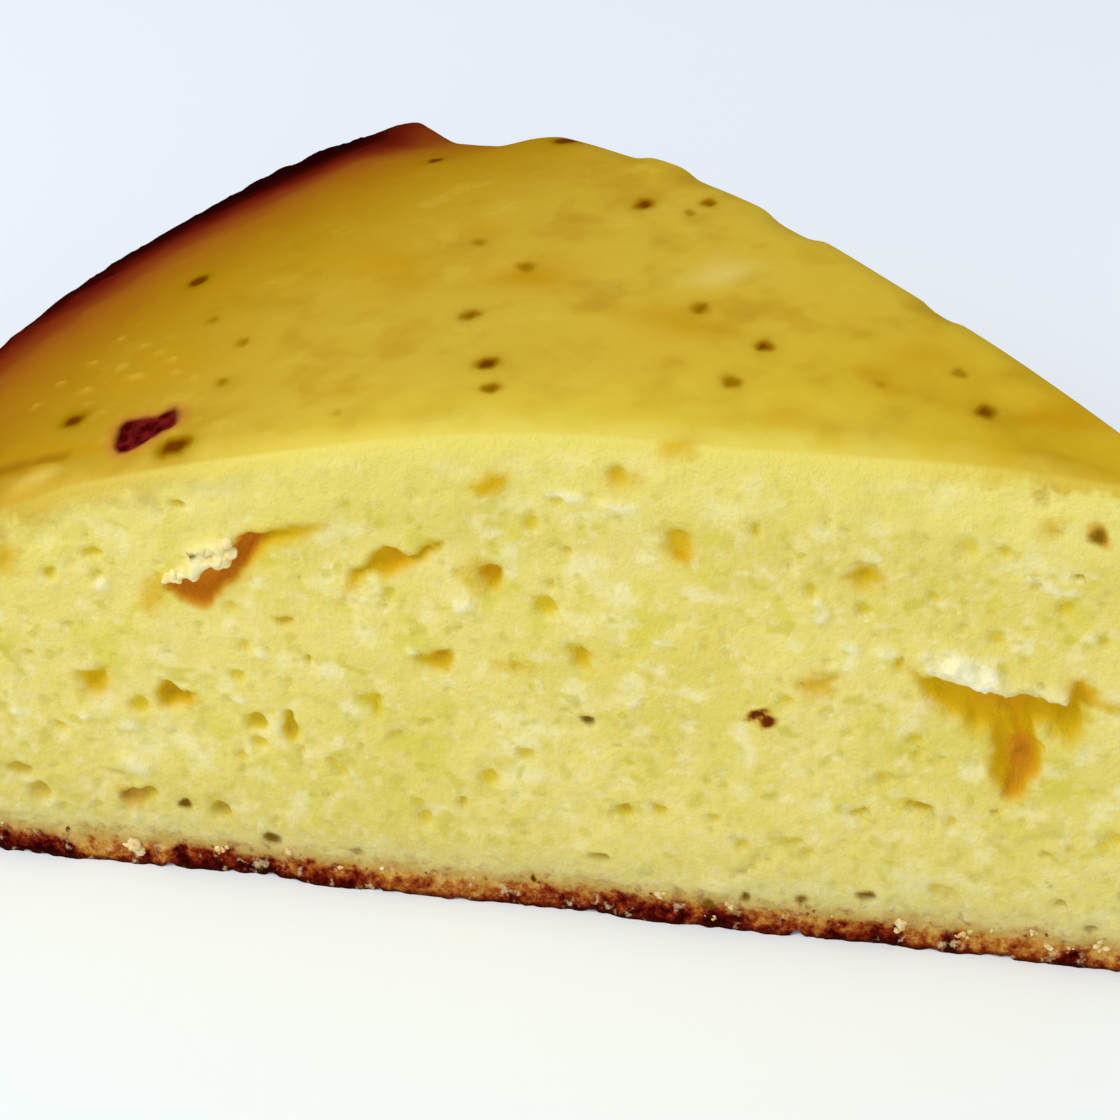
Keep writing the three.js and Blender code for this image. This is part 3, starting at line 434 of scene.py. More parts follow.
def cut_relief(radius, height, seed, tears, hollow_shading, lips, holes, pits, bumps, flecks):
    """The relief of a cut and what the material needs to know of it: how far it stands out, and how
    hollow, ochre, brown, pale, pitted and flecked each place is. The ochre, the brown and the pits'
    dark are painted light and shade of the hollows, and the pale is painted highlight."""
    stray_a, stray_b = strayed(radius, height, seed, *CUT_STRAY)
    near = {name: np.zeros(radius.shape) for name in ("hollow", "ochre", "brown", "pale", "pit")}
    near["fleck"] = np.full(radius.shape, FAR_OUTSIDE)
    stand, lifted = np.zeros(radius.shape), np.zeros(radius.shape)

    def deepen(name, value):
        near[name] = np.maximum(near[name], value)

    def spread(a, b, width, tall):
        """How far each place is from a spot, in half widths of it."""
        return np.hypot((stray_a - a) / (width / 2), (stray_b - b) / (tall / 2))

    for outline, depth, slope in tears:
        within = inside(stray_a, stray_b, outline)
        deepen("hollow", depth * smooth(-0.2, slope, within))
        # Painted light in the tears: the deeper a tear, the more ochre its crumb is painted, for
        # the light that passes through more cake
        deepen("ochre", min(0.45 + 0.2 * depth, 0.9) * smooth(-0.5, 0.6, within))
    for outline, soft, ochre, brown in hollow_shading:
        share = smooth(-soft, soft, inside(stray_a, stray_b, outline))
        deepen("ochre", ochre * share)
        deepen("brown", brown * share)
    for *spot, depth in holes:
        deepen("hollow", depth * smooth(1.35, 0.35, spread(*spot)))
    for *spot, darkness in pits:
        deepen("pit", darkness * smooth(1.5, 0.3, spread(*spot)))
    for outline, reach, paleness in lips:
        lip = smooth(-0.2, 0.45, inside(stray_a, stray_b, outline))
        lobes = mottle(radius, height, LIP_LOBES, seed + 2)
        stand = np.maximum(stand, reach * lip * (0.8 + 1.3 * lobes))
        lifted = np.maximum(lifted, lip)
        deepen("pale", paleness * lip * (1 + 1.1 * np.minimum(lobes, 0)))
    for a, b, width, tall in bumps:
        raised = smooth(1.2, 0.2, spread(a, b, width, tall))
        stand = np.maximum(stand, BUMP_HEIGHT * min(width, tall) * raised)
        deepen("pale", BUMP_PALENESS * raised)
    for a, b, long, short, lean in flecks:
        c, s = math.cos(math.radians(lean)), math.sin(math.radians(lean))
        u, v = (stray_a - a) * c + (stray_b - b) * s, (stray_b - b) * c - (stray_a - a) * s
        deepen("fleck", (1 - np.hypot(u / (long / 2), v / (short / 2))) * short / 2)
    crumbs = mottles(radius, height, seed + 8, LOW_GRAIN) * smooth(4.0, 1.0, height)
    crumbs = crumbs + mottles(radius, height, seed + 11, LIP_GRAIN) * lifted
    # A lip hides what is below it
    for name, hidden in (("hollow", 1.0), ("ochre", 0.8), ("brown", 1.0)):
        near[name] = near[name] * (1 - hidden * lifted)
    stand = stand + mottles(radius, height, seed + 3, *CUT_GRAIN) + crumbs
    return stand - near["hollow"] - PIT_DEPTH * near["pit"], near


def top_relief(radius, angle):
    """The relief of the top skin, and what the material needs to know of it: how deep in a pinhole
    each place is, which sets its painted shade, how ochre, how far inside a scar or a fold, and how
    much of a blister."""
    a, b = radius * np.cos(angle), radius * np.sin(angle)
    stray_a, stray_b = strayed(a, b, 21, *SKIN_STRAY)
    pin, cloud, blister = (np.zeros(radius.shape) for _ in range(3))
    scar, fold = (np.full(radius.shape, FAR_OUTSIDE) for _ in range(2))

    def spot(r, degrees):
        return r * math.cos(math.radians(degrees)), r * math.sin(math.radians(degrees))

    for r, degrees, width, darkness in PINHOLES:
        x, y = spot(r, degrees)
        away = np.hypot(stray_a - x, (stray_b - y) / PIN_STRETCH) / width
        pin = np.maximum(pin, darkness * sum(
            share * np.exp(-((away / reach) ** power)) for share, reach, power in PIN_LAYERS))
    drift = mottles(a, b, 27, CLOUD_STRAY)
    for r, degrees, along, across, strength in CLOUDS:
        x, y = spot(r, degrees)
        away = np.hypot((a + drift - x) / along, (b + drift - y) / across)
        cloud = cloud + strength * np.exp(-(away ** 2))
    for outline in SCARS:
        scar = np.maximum(scar, inside(stray_a, stray_b, [spot(*point) for point in outline]))
    for points, width in FOLDS:
        ends = [spot(*point) for point in points]
        for start, end in zip(ends, ends[1:]):
            fold = np.maximum(fold, width / 2 - from_line(a, b, start, end))
    for r, degrees, width in BLISTERS:
        x, y = spot(r, degrees)
        reach = np.hypot(stray_a - x, stray_b - y) / (width * 0.75)
        blister = np.maximum(blister, smooth(0, 1, 1 - reach))
    lift = mottles(a, b, 23, *SKIN_WAVES)
    lift = lift - PIN_DEPTH * np.maximum(pin - 0.15, 0) - SCAR_DEPTH * smooth(-0.1, 0.6, scar)
    lift = lift + SCAR_RIM * np.exp(-((scar + 0.45) / 0.4) ** 2) + BLISTER_HEIGHT * blister
    return lift - FOLD_DEPTH * smooth(-0.7, 0.5, fold), {
        "pin": pin, "cloud": cloud, "scar": scar, "fold": fold, "blister": blister}


def browning(radius, angle):
    """How far from the rim, in mm, the skin is as brown as it is here, 20 degrees from the
    front cut. The oven browned the rim more towards the back cut, except for its last corner."""
    turn = np.degrees(angle)
    more = BROWNER_PER_DEGREE * (turn - BROWNING_FROM)
    return CAKE_RADIUS - radius - more + PALER_PER_DEGREE * np.maximum(turn - CORNER_FROM, 0)


# The skin is laid in grids: the front cut, the rim and the back cut as walls with the same
# number of rows, and the top as rings around the tip
def wall(radius, across):
    """A grid up from the base: its radius, place across, height and the height of its top."""
    radius, up = np.meshgrid(radius, np.linspace(0, 1, UP_STEPS + 1), indexing="ij")
    across = np.broadcast_to(np.asarray(across, float), (len(radius),))[:, None] + 0 * up
    top = top_height(radius, across * SLICE_ANGLE)
    return radius, across, up * top, top


vertices, traits = [], []
TRAITS = ["from_rim", "browning", "under_top", "above_base", "on_cut", "tone", "hollow", "ochre",
          "brown", "pale", "pit", "fleck", "pin", "cloud", "scar", "fold", "blister", "from_cut"]


def lay(points, **values):
    """Adds a grid of points and their traits, and returns the grid of their numbers."""
    count = sum(len(v) for v in vertices)
    vertices.append(points.reshape(-1, 3))
    values = {"fleck": FAR_OUTSIDE, "scar": FAR_OUTSIDE, "fold": FAR_OUTSIDE, **values}
    shape = points.shape[:-1]
    rows = [np.broadcast_to(values.get(name, 0.0), shape).ravel() for name in TRAITS]
    traits.append(np.stack(rows, axis=-1))
    return np.arange(count, count + points.size // 3).reshape(shape)


def lay_cut(cut, steps, seed, tones, *features):
    """Lays a cut with its tears, painted hollow shading, lips, holes, pits, bumps and flecks."""
    radius = np.linspace(TIP_ROUNDING, CAKE_RADIUS - RIM_GAP, steps + 1)
    radius, across, height, top = wall(radius, float(cut))
    from_ends = np.minimum(radius, CAKE_RADIUS - radius)
    # Bits of the bottom crust have broken off along its lower edge
    chips = np.maximum(mottles(radius, 0 * radius, seed + 9, *CHIP_SIZES) - 0.2, 0)
    chips = BASE_CHIPS * chips * smooth(0, 3, from_ends)
    height = height + chips * np.maximum(1 - height / BASE_CHIPS_REACH, 0)
    stand, near = cut_relief(radius, height, seed, *features)
    tone = np.interp(radius, *zip(*tones)) + mottles(radius, height, seed + 5, TONE_SPOTS)
    # The relief dies away at the tip, the rim, the base and the top skin
    edge = np.minimum.reduce([from_ends, height + 0.25, top - height + 0.1])
    fall = EDGE_FALL * np.maximum(1 - (top - height) / EDGE_FALL_REACH, 0) ** 2
    ragged = BASE_RAGGED * np.minimum(mottles(radius, height, seed + 6, *RAGGED_SIZES), 0.3)
    low = np.maximum(1 - height / BASE_RAGGED_REACH, 0) * smooth(0, 2, from_ends)
    reliefs = [0.0, 0.0]
    reliefs[cut] = stand * smooth(0, 1.6, edge) - fall + (ragged + BASE_SPREAD) * low
    # The tip has crumbled away a little, by as much on both cuts
    gone = np.clip(0.5 + mottles(height, 0 * height, 41, *TIP_CRUMBLE_SIZES), 0, 1)
    radius = radius + TIP_CRUMBLED * gone * smooth(TIP_CRUMBLE_REACH, 0, radius)
    _, skin = top_relief(radius[:, :1], cut * SLICE_ANGLE)
    return lay(
        skin_point(radius, across, height, reliefs), pin=skin["pin"], cloud=skin["cloud"],
        from_rim=CAKE_RADIUS - radius, browning=browning(radius, cut * SLICE_ANGLE),
        under_top=top - height, above_base=height, on_cut=1.0, tone=tone, **near,
    )


front = lay_cut(0, FRONT_STEPS, FRONT_SEED, BASE_TONES, FRONT_TEARS, FRONT_HOLLOW_SHADING, FRONT_LIPS,
                FRONT_HOLES, FRONT_PITS, FRONT_BUMPS, FRONT_FLECKS)

# The back cut has air holes and raised crumbs, painted pale as highlights, of the same sizes as the
# front cut, strewn at random
strew = np.random.default_rng(STREW_SEED)


def strewn_spots(count):
    """Spots as distance from the tip, height, width and height."""
    rows = []
    for _ in range(count):
        r, share, width = strew.uniform(5, 104), strew.uniform(0.08, 0.9), strew.uniform(1.0, 2.2)
        rows.append((r, share * float(dome_height(r)), width, width * strew.uniform(0.6, 1.2)))
    return rows


back_holes = [(*spot, 0.4 * spot[2]) for spot in strewn_spots(BACK_HOLES)]
back_pits = [(r, z, 0.7 * wide, 0.6 * tall, 0.8) for r, z, wide, tall in strewn_spots(BACK_PITS)]
# The back cut's tears get the same painted light and shade, with a little painted brown by their
# depth
back_hollow_shading = [(outline, 0.6, 1.0, 0.12 * depth) for outline, depth, _ in BACK_TEARS]
back_tones = [(CAKE_RADIUS - radius, tone) for radius, tone in reversed(BASE_TONES)]
back = lay_cut(1, BACK_STEPS, BACK_SEED, back_tones, BACK_TEARS, back_hollow_shading, BACK_LIPS,
               back_holes, back_pits, strewn_spots(BACK_BUMPS), BACK_FLECKS)

rim_length = CAKE_RADIUS * SLICE_ANGLE
across = np.linspace(0, 1, RIM_STEPS + 1) * (1 - 2 * RIM_GAP / rim_length) + RIM_GAP / rim_length
radius, across, height, top = wall(np.full(RIM_STEPS + 1, CAKE_RADIUS), across)
rough = mottles(across * rim_length, height, 31, *RIM_ROUGHNESS)
rim = lay(
    skin_point(radius + rough * smooth(0, 2, height), across, height),
    browning=browning(radius, across * SLICE_ANGLE), under_top=top - height, above_base=height,
)

ring = 1 - (1 - np.linspace(0, 1, TOP_RINGS + 1)) ** RING_CROWDING
ring = TIP_RING + (CAKE_RADIUS - RIM_RING - TIP_RING) * ring
radius, share = np.meshgrid(ring, np.linspace(0, 1, TOP_ACROSS + 1), indexing="ij")
inset = SKIN_INSET / (radius * SLICE_ANGLE)
across = inset + (1 - 2 * inset) * share
angle = across * SLICE_ANGLE
lift, near = top_relief(radius, angle)
height = top_height(radius, angle)
from_rim = CAKE_RADIUS - radius
from_cut = np.minimum(radius * np.sin(angle), radius * np.sin(SLICE_ANGLE - angle))
blistered = RIM_BLISTERS * mottles(radius, radius * angle, 25, *RIM_BLISTER_SIZES)
lift = lift * smooth(0, 2.5, np.minimum(from_cut, from_rim))
lift = lift + blistered * smooth(10, 1, from_rim) * smooth(0, 1.5, from_cut)
points = skin_point(radius, across, height)
points[..., 2] += lift
# The ochre along the front cut's upper edge, painted light and shade of its tears, goes on over the
# skin beside it
edge = dict(zip(TRAITS, np.concatenate(traits)[front[:, -1]].T))
crown = lay(
    points, ochre=np.interp(radius, CAKE_RADIUS - edge["from_rim"], edge["ochre"]),
    from_rim=from_rim, browning=browning(radius, angle), above_base=height,
    from_cut=radius * np.sin(angle), **near,
)

faces = []
for grid in (front, back, rim, crown):
    quads = np.stack([grid[:-1, :-1], grid[1:, :-1], grid[1:, 1:], grid[:-1, 1:]], axis=-1)
    faces += quads.reshape(-1, 4).tolist()
for one, other in ((front[0], back[0]), (front[-1], rim[0]), (rim[-1], back[-1])):
    faces += np.stack([one[:-1], one[1:], other[1:], other[:-1]], axis=-1).tolist()
faces.append(front[:, 0].tolist() + rim[:, 0].tolist() + back[::-1, 0].tolist())

# The top edge of the walls and the edge of the top skin are sewn together all the way round
places = np.concatenate(vertices)
outer = np.concatenate([front[:, -1], rim[:, -1], back[::-1, -1]]).tolist()
inner = np.concatenate([crown[:, 0], crown[-1, 1:], crown[-2::-1, -1], crown[0, -2:0:-1]]).tolist()
i = j = 0
while i < len(outer) or j < len(inner):
    a, b = outer[i % len(outer)], inner[j % len(inner)]
    next_a, next_b = outer[(i + 1) % len(outer)], inner[(j + 1) % len(inner)]
    along_outer = np.linalg.norm(places[next_a] - places[b])
    along_inner = np.linalg.norm(places[next_b] - places[a])
    if j >= len(inner) or (i < len(outer) and along_outer < along_inner):
        faces.append([a, next_a, b])
        i += 1
    else:
        faces.append([a, next_b, b])
        j += 1

# The slice's box is centred over the origin, as the solid's is
to_centre = np.array([
    cad_box[1].x * PER_METRE, -(places[:, 1].min() + places[:, 1].max()) / 2, 0
])
places += to_centre
mesh = bpy.data.meshes.new("slice")
mesh.from_pydata((places / PER_METRE).tolist(), [], faces)
for name, column in zip(TRAITS, np.concatenate(traits).T):
    mesh.attributes.new(name, "FLOAT", "POINT").data.foreach_set("value", column.astype(np.float32))
outward = np.zeros((len(places), 3), np.float32)
outward[front.ravel()] = CUT_OUT[0]
outward[back.ravel()] = CUT_OUT[1]
mesh.attributes.new("outward", "FLOAT_VECTOR", "POINT").data.foreach_set("vector", outward.ravel())
solid = bmesh.new()
solid.from_mesh(mesh)
bmesh.ops.recalc_face_normals(solid, faces=solid.faces)
if solid.calc_volume(signed=True) < 0:
    bmesh.ops.reverse_faces(solid, faces=solid.faces)
print("slice: open edges", sum(not e.is_manifold for e in solid.edges), "faces", len(solid.faces),
      "volume cm3", round(solid.calc_volume() * 1e6, 1))
solid.to_mesh(mesh)
solid.free()


def placed(name, data):
    """A new object in the scene."""
    thing = bpy.data.objects.new(name, data)
    bpy.context.scene.collection.objects.link(thing)
    return thing


slice_ = placed("slice", mesh)


# The helpers below build in the node tree that this name holds
tree = None


def add(tree, kind, links=None, **settings):
    """Adds a node, with its settings, and its sockets linked or set."""
    node = tree.nodes.new(kind)
    for name, value in settings.items():
        setattr(node, name, value)
    for socket, value in (links or {}).items():
        if isinstance(value, bpy.types.NodeSocket):
            tree.links.new(value, node.inputs[socket])
        else:
            node.inputs[socket].default_value = value
    return node


def linear(sheet):
    """The linear colour of an sRGB hex value."""
    parts = [int(sheet[i:i + 2], 16) / 255 for i in (1, 3, 5)]
    return (*(p / 12.92 if p <= 0.04045 else ((p + 0.055) / 1.055) ** 2.4 for p in parts), 1.0)


def calc(operation, a, b=0.0, c=0.0):
    return add(tree, "ShaderNodeMath", {0: a, 1: b, 2: c}, operation=operation).outputs[0]


def product(*factors):
    """The product of factors, each of them a socket or a number."""
    total, *rest = factors
    for factor in rest:
        total = calc("MULTIPLY", total, factor)
    return total


def swayed(value, by, reach, middle=0.5):
    """A value swayed to both sides by a noise around its middle."""
    return calc("ADD", value, product(calc("SUBTRACT", by, middle), reach))


def mask(value, low, high, kind="SMOOTHSTEP"):
    """0 below one value, 1 above the other, and smooth between."""
    return add(
        tree, "ShaderNodeMapRange", {"Value": value, "From Min": low, "From Max": high},
        interpolation_type=kind,
    ).outputs["Result"]


def ramp(value, stops):
    """A colour ramp over a value, with its stops as (value, hex colour)."""
    low, high = stops[0][0], stops[-1][0]
    node = add(tree, "ShaderNodeValToRGB", {"Fac": mask(value, low, high, "LINEAR")})
    marks = node.color_ramp.elements
    while len(marks) < len(stops):
        marks.new(0.5)
    for mark, (at, sheet) in zip(marks, stops):
        mark.position = (at - low) / (high - low)
        mark.color = linear(sheet)
    return node.outputs["Color"]


def layered(under, *layers):
    """Lays colours over a colour, each as far as the product of its shares. A colour is a socket
    or an sRGB hex value."""
    for over, *shares in layers:
        under, over = (linear(c) if isinstance(c, str) else c for c in (under, over))
        under = add(
            tree, "ShaderNodeMix", {"Factor": product(*shares), "A": under, "B": over},
            data_type="RGBA",
        ).outputs["Result"]
    return under


def trait(name):
    return add(tree, "ShaderNodeAttribute", attribute_name=name).outputs["Fac"]


def spots(size, detail=2.0, rough=0.5):
    """Noise over the object with spots of a size in mm."""
    place = tree.nodes.get("place") or add(tree, "ShaderNodeTexCoord", name="place")
    return add(
        tree, "ShaderNodeTexNoise",
        {"Vector": place.outputs["Object"], "Scale": PER_METRE / size, "Detail": detail,
         "Roughness": rough},
    ).outputs["Fac"]


# Baked yogurt batter. The top skin is smooth and golden, turning caramel and then almost black
# towards the rim. The crumb is pale yellow and matt. In its holes and tears it is painted ochre and
# orange for the light that has passed through more cake there, and brown and dark in its pits for
# their shade. On its raised lips and crumbs it is painted pale for their highlights.
sponge = bpy.data.materials.new("baked yogurt sponge")
sponge.use_nodes = True
tree = sponge.node_tree
tree.nodes.clear()
pebbly, patchy, broad = spots(1.4, 3.0, 0.6), spots(5.5, 2.0), spots(16.0, 1.0)
from_rim, under_top, above_base = trait("from_rim"), trait("under_top"), trait("above_base")
cloud, pin, scar, hollow, on_cut = (trait(t) for t in ("cloud", "pin", "scar", "hollow", "on_cut"))

# The top skin: browner towards the rim, and paler beside the front cut
toasted = swayed(trait("browning"), patchy, 4.0)
from_cut_swayed = swayed(trait("from_cut"), spots(4.0, 3.0), 5.0)
middle = product(mask(from_rim, 26.0, 54.0), mask(from_rim, 96.0, 78.0))
# The burnt scar is dark maroon, with lighter red spots painted as its highlights
burnt_with_highlights = layered("#420402", ("#701816", mask(spots(1.1, 2.0), 0.4, 0.66, "LINEAR")))
skin = layered(
    ramp(toasted, [
        (-2.0, "#200201"), (1.5, "#400701"), (4.0, "#661909"), (6.0, "#802f0f"), (8.0, "#8c4110"),
        (10.0, "#995614"), (12.5, "#a46512"), (16.0, "#a87111"), (21.0, "#b08112"),
        (27.0, "#ba911b"), (36.0, "#c6a32d"), (50.0, "#cdac35"), (68.0, "#d2b134"),
        (82.0, "#cfae2a"), (96.0, "#cfac20"),
    ]),
    ("#b48710", 0.42, mask(patchy, 0.46, 0.7), mask(toasted, 12.0, 26.0)),
    ("#dcc048", 0.25, mask(spots(4.4, 4.0, 0.65), 0.52, 0.72), mask(toasted, 16.0, 34.0)),
    ("#dcc668", cloud, -1.0),  # the pale clouds, which are below zero
    ("#d8ba48", 0.45, mask(from_cut_swayed, 2.8, 0.2), mask(from_rim, 6.0, 22.0)),
    ("#e0c640", 0.65, mask(from_cut_swayed, 11.0, 1.0), middle),
    ("#dfcd58", 0.9, mask(from_cut_swayed, 3.2, 0.2), middle),
    ("#c08c04", cloud),
    ("#e0b83c", 0.45, trait("blister")),
    # Painted shade in the creases of the folds
    ("#8a5a08", 0.6, mask(trait("fold"), -1.0, 0.6)),
    ("#a07604", mask(pin, 0.02, 0.5)),
    # Painted shade in the middle of each pinhole
    ("#6b3000", 0.94, mask(pin, 0.4, 0.9)),
    ("#c07a2e", 0.7, mask(scar, -1.3, -0.2)),
    (burnt_with_highlights, mask(scar, -0.45, 0.3)),
)
# The side against the tin baked to an even, darker brown than the golden top, spotted where the
# batter stuck
side = layered(
    "#521e0a",
    ("#86481a", mask(spots(7.0, 3.0, 0.6), 0.35, 0.65)),
    ("#a8662a", 0.6, mask(spots(1.8, 3.0, 0.65), 0.5, 0.7)),
    ("#32100a", 0.6, mask(spots(1.2, 2.0), 0.56, 0.7)),
    ("#3a1206", mask(above_base, 2.2, 0.2)),
)
skin = layered(skin, (side, mask(swayed(under_top, patchy, 6.0), 0.5, 6.0)))

# The crumb, from its own colours, through the painted light and shade of its holes and tears and
# the painted highlights of its lips and crumbs, to what the knife left on it of the skin, at both
# ends of the cut, and of the bottom crust
lower = mask(above_base, 30.0, 10.0)
under = swayed(under_top, pebbly, 1.6)
left_on = swayed(under_top, spots(3.2, 3.0, 0.6), 7.0)
rim_side = ramp(from_rim, [(0.0, "#5a1c08"), (1.4, "#8c4818"), (2.6, "#c09030"), (4.0, "#e0cc60")])
base = swayed(above_base, spots(2.2, 4.0, 0.7), 3.2)
tone = calc("ADD", product(trait("tone"), 0.85), product(base, 0.26))
bottom = ramp(swayed(tone, spots(1.0, 3.0, 0.7), 2.1, 0.57), [
    (0.0, "#260403"), (0.25, "#560f08"), (0.5, "#7f2c10"), (0.75, "#a05a22"), (1.0, "#bd8638"),
    (1.35, "#cfaa58"),
])
crumb = layered(
    "#e1cf66",
    ("#e9d878", mask(broad, 0.35, 0.65)),
    ("#d7ca44", 0.6, mask(spots(3.4, 2.0), 0.50, 0.70)),
    ("#f4e8ac", 0.7, mask(spots(3.0, 3.0), 0.50, 0.72)),
    ("#cabd40", 0.6, mask(spots(1.9, 1.0), 0.60, 0.74)),
    ("#f5edbc", 0.35, mask(pebbly, 0.55, 0.75)),
    ("#c2b43e", 0.55, lower, mask(spots(2.1, 1.5), 0.52, 0.74)),
    ("#f2e4b0", 0.55, lower, mask(spots(1.7, 1.5), 0.54, 0.76)),
    ("#ecdd76", 0.55, mask(under, 9.0, 3.0)),
    ("#e4d468", mask(under, 1.9, 0.2)),
    # Painted light and shade in the holes and tears: ochre, then orange the deeper they are, for
    # the light that passes through more cake there, and brown for their shade
    ("#dfc634", mask(hollow, 0.05, 0.6)),
    ("#d0b01c", mask(hollow, 0.4, 1.1)),
    ("#d6ac12", trait("ochre")),
    ("#d8940c", mask(hollow, 1.5, 2.9)),
    ("#d68a20", trait("brown")),
    # Painted highlights: the raised lips and crumbs are painted pale
    ("#f7f0c6", 0.85, trait("pale")),
    (skin, 0.8, mask(left_on, 3.4, 0.4), mask(from_rim, 46.0, 16.0)),
    (skin, 0.8, mask(left_on, 1.7, 0.3), mask(from_rim, 82.0, 98.0)),
    (rim_side, mask(from_rim, 4.0, 1.6)),
    ("#cfc068", 0.35, mask(base, 20.0, 5.0)),
    ("#d2c47e", 0.8, mask(base, 7.5, 2.5)),
    ("#b5a457", 0.6, mask(base, 6.0, 3.0), mask(spots(1.3, 2.0), 0.52, 0.66)),
    ("#eee4b6", 0.45, mask(base, 9.0, 3.0), mask(spots(0.9, 2.0), 0.52, 0.72)),
    ("#bc9244", 0.8, mask(base, 4.2, 2.4)),
    ("#8c5418", 0.6, mask(base, 5.2, 2.6), mask(spots(0.9, 2.0), 0.54, 0.68)),
    (bottom, mask(base, 2.7, 1.8)),
    ("#3c1206", 0.7, mask(above_base, 0.7, 0.1)),
    ("#e8cb92", 0.7, mask(base, 3.4, 1.2), mask(spots(1.5, 3.0, 0.7), 0.57, 0.72)),
    # Painted shade in the dark pits
    ("#765408", mask(trait("pit"), 0.02, 0.9)),
    ("#b9862c", mask(trait("fleck"), -0.35, 0.05)),
    ("#642c0a", mask(trait("fleck"), -0.12, 0.15)),
)
grain = calc("ADD", product(spots(0.5, 3.0, 0.6), on_cut), product(spots(0.9, 2.0), 0.25))
bump = add(tree, "ShaderNodeBump", {"Height": grain, "Strength": 0.6, "Distance": 0.0003})
rough = add(tree, "ShaderNodeMapRange", {"Value": on_cut, "To Min": 0.75, "To Max": 0.95})
shader = add(
    tree, "ShaderNodeBsdfPrincipled",
    {"Base Color": layered(skin, (crumb, on_cut)), "Roughness": rough.outputs["Result"],
     "Normal": bump.outputs["Normal"], "IOR": 1.4, "Specular IOR Level": 0.0},
)
add(tree, "ShaderNodeOutputMaterial", {"Surface": shader.outputs["BSDF"]})


def geometry_tree(name, inputs):
    """A Geometry Nodes tree with inputs of the given kinds beside its geometry, and what its
    inputs give."""
    group = bpy.data.node_groups.new(name, "GeometryNodeTree")
    group.interface.new_socket("Geometry", in_out="OUTPUT", socket_type="NodeSocketGeometry")
    for socket, kind in {"Geometry": "Geometry", **inputs}.items():
        group.interface.new_socket(socket, in_out="INPUT", socket_type="NodeSocket" + kind)
    return group, add(group, "NodeGroupInput").outputs


def vector(operation, a, b):
    """A sum or difference of vectors, or with SCALE a vector times a number."""
    slot = 3 if operation == "SCALE" else 1
    return add(tree, "ShaderNodeVectorMath", {0: a, slot: b}, operation=operation).outputs[0]


def named(name, kind="FLOAT"):
    node = add(tree, "GeometryNodeInputNamedAttribute", {"Name": name}, data_type=kind)
    return node.outputs["Attribute"]


def end_with(geometry, *steps):
    """Sends a geometry through nodes, each given as its kind and inputs, and out of the tree."""
    for kind, links in steps:
        geometry = add(tree, kind, {"Geometry": geometry, **links}).outputs["Geometry"]
    add(tree, "NodeGroupOutput", {"Geometry": geometry})


def run(piece, group, settings):
    """Runs a Geometry Nodes tree on a piece, and leaves its result as a plain, smooth mesh."""
    modifier = piece.modifiers.new(group.name, "NODES")
    modifier.node_group = group
    for item in group.interface.items_tree:
        if item.item_type == "SOCKET" and item.in_out == "INPUT" and item.name in settings:
            modifier[item.identifier] = settings[item.name]
    piece.update_tag()
    view = bpy.context.evaluated_depsgraph_get()
    made = bpy.data.meshes.new_from_object(piece.evaluated_get(view), depsgraph=view)
    piece.modifiers.clear()
    piece.data = made
    made.shade_smooth()


# Fine air holes and crumb grain over both cuts, as the knife leaves them: the cut opens balls of
# air of three sizes that are strewn through the cake
PORE_SIZES = [  # name, spacing of the air balls in mm, smallest and largest radius in spacings
    ("large", 4.4, 0.0, 0.24),
    ("middle", 2.4, 0.0, 0.32),
    ("small", 1.3, 0.05, 0.36),
]
settings = {"hole depth": 0.7, "grain size": 0.9, "grain height": 0.22, "seed": 5.0}
for name, spacing, least, most in PORE_SIZES:
    settings.update({f"{name} spacing": spacing, f"{name} least": least, f"{name} most": most})
pores, given = geometry_tree("air holes and crumb grain", dict.fromkeys(settings, "Float"))
tree = pores
in_mm = vector("SCALE", add(tree, "GeometryNodeInputPosition").outputs[0], PER_METRE)
stray = add(tree, "ShaderNodeTexNoise", {"Vector": in_mm, "Scale": 0.9, "Detail": 1.0})
wandered = vector("ADD", in_mm, vector("SCALE", stray.outputs["Color"], 0.9))
opened = 0.0
for name, *_ in PORE_SIZES:
    spacing, least, most = (given[f"{name} {part}"] for part in ("spacing", "least", "most"))
    spread = vector("SCALE", wandered, calc("DIVIDE", 1.0, spacing))
    cells = add(tree, "ShaderNodeTexVoronoi",
                {"Vector": vector("ADD", spread, given["seed"]), "Scale": 1.0}).outputs
    chance = add(tree, "FunctionNodeSeparateColor", {"Color": cells["Color"]}).outputs[0]
    ball = calc("MULTIPLY_ADD", product(chance, chance), calc("SUBTRACT", most, least), least)
    gap = calc("MAXIMUM", calc("SUBTRACT", ball, cells["Distance"]), 0.0)
    # The depth of a ball of air below the cut, from Pythagoras
    depth = calc("SQRT", product(gap, calc("ADD", ball, cells["Distance"])))
    opened = calc("MAXIMUM", opened, product(depth, spacing))
# The air holes and the grain keep clear of the crust all round, and the holes keep clear of the
# lips and crumbs painted pale as highlights
clear = calc("SUBTRACT", 1.0, named("pale"))
for crust, start, slope in (
    ("above_base", 1.2, 0.8), ("under_top", 2.0, 0.4), ("from_rim", 1.5, 1.0),
):
    room = product(calc("SUBTRACT", named(crust), start), slope)
    clear = calc("MINIMUM", clear, calc("MAXIMUM", room, 0.0))
opened = product(opened, clear, given["hole depth"])
grains = add(tree, "ShaderNodeTexNoise",
             {"Vector": in_mm, "Scale": calc("DIVIDE", 1.0, given["grain size"]), "Detail": 2.0})
grains = product(calc("SUBTRACT", grains.outputs["Fac"], 0.5), given["grain height"],
                 calc("MINIMUM", calc("MAXIMUM", named("under_top"), 0.0), 1.0))
stand = product(calc("SUBTRACT", grains, opened), 1 / PER_METRE)
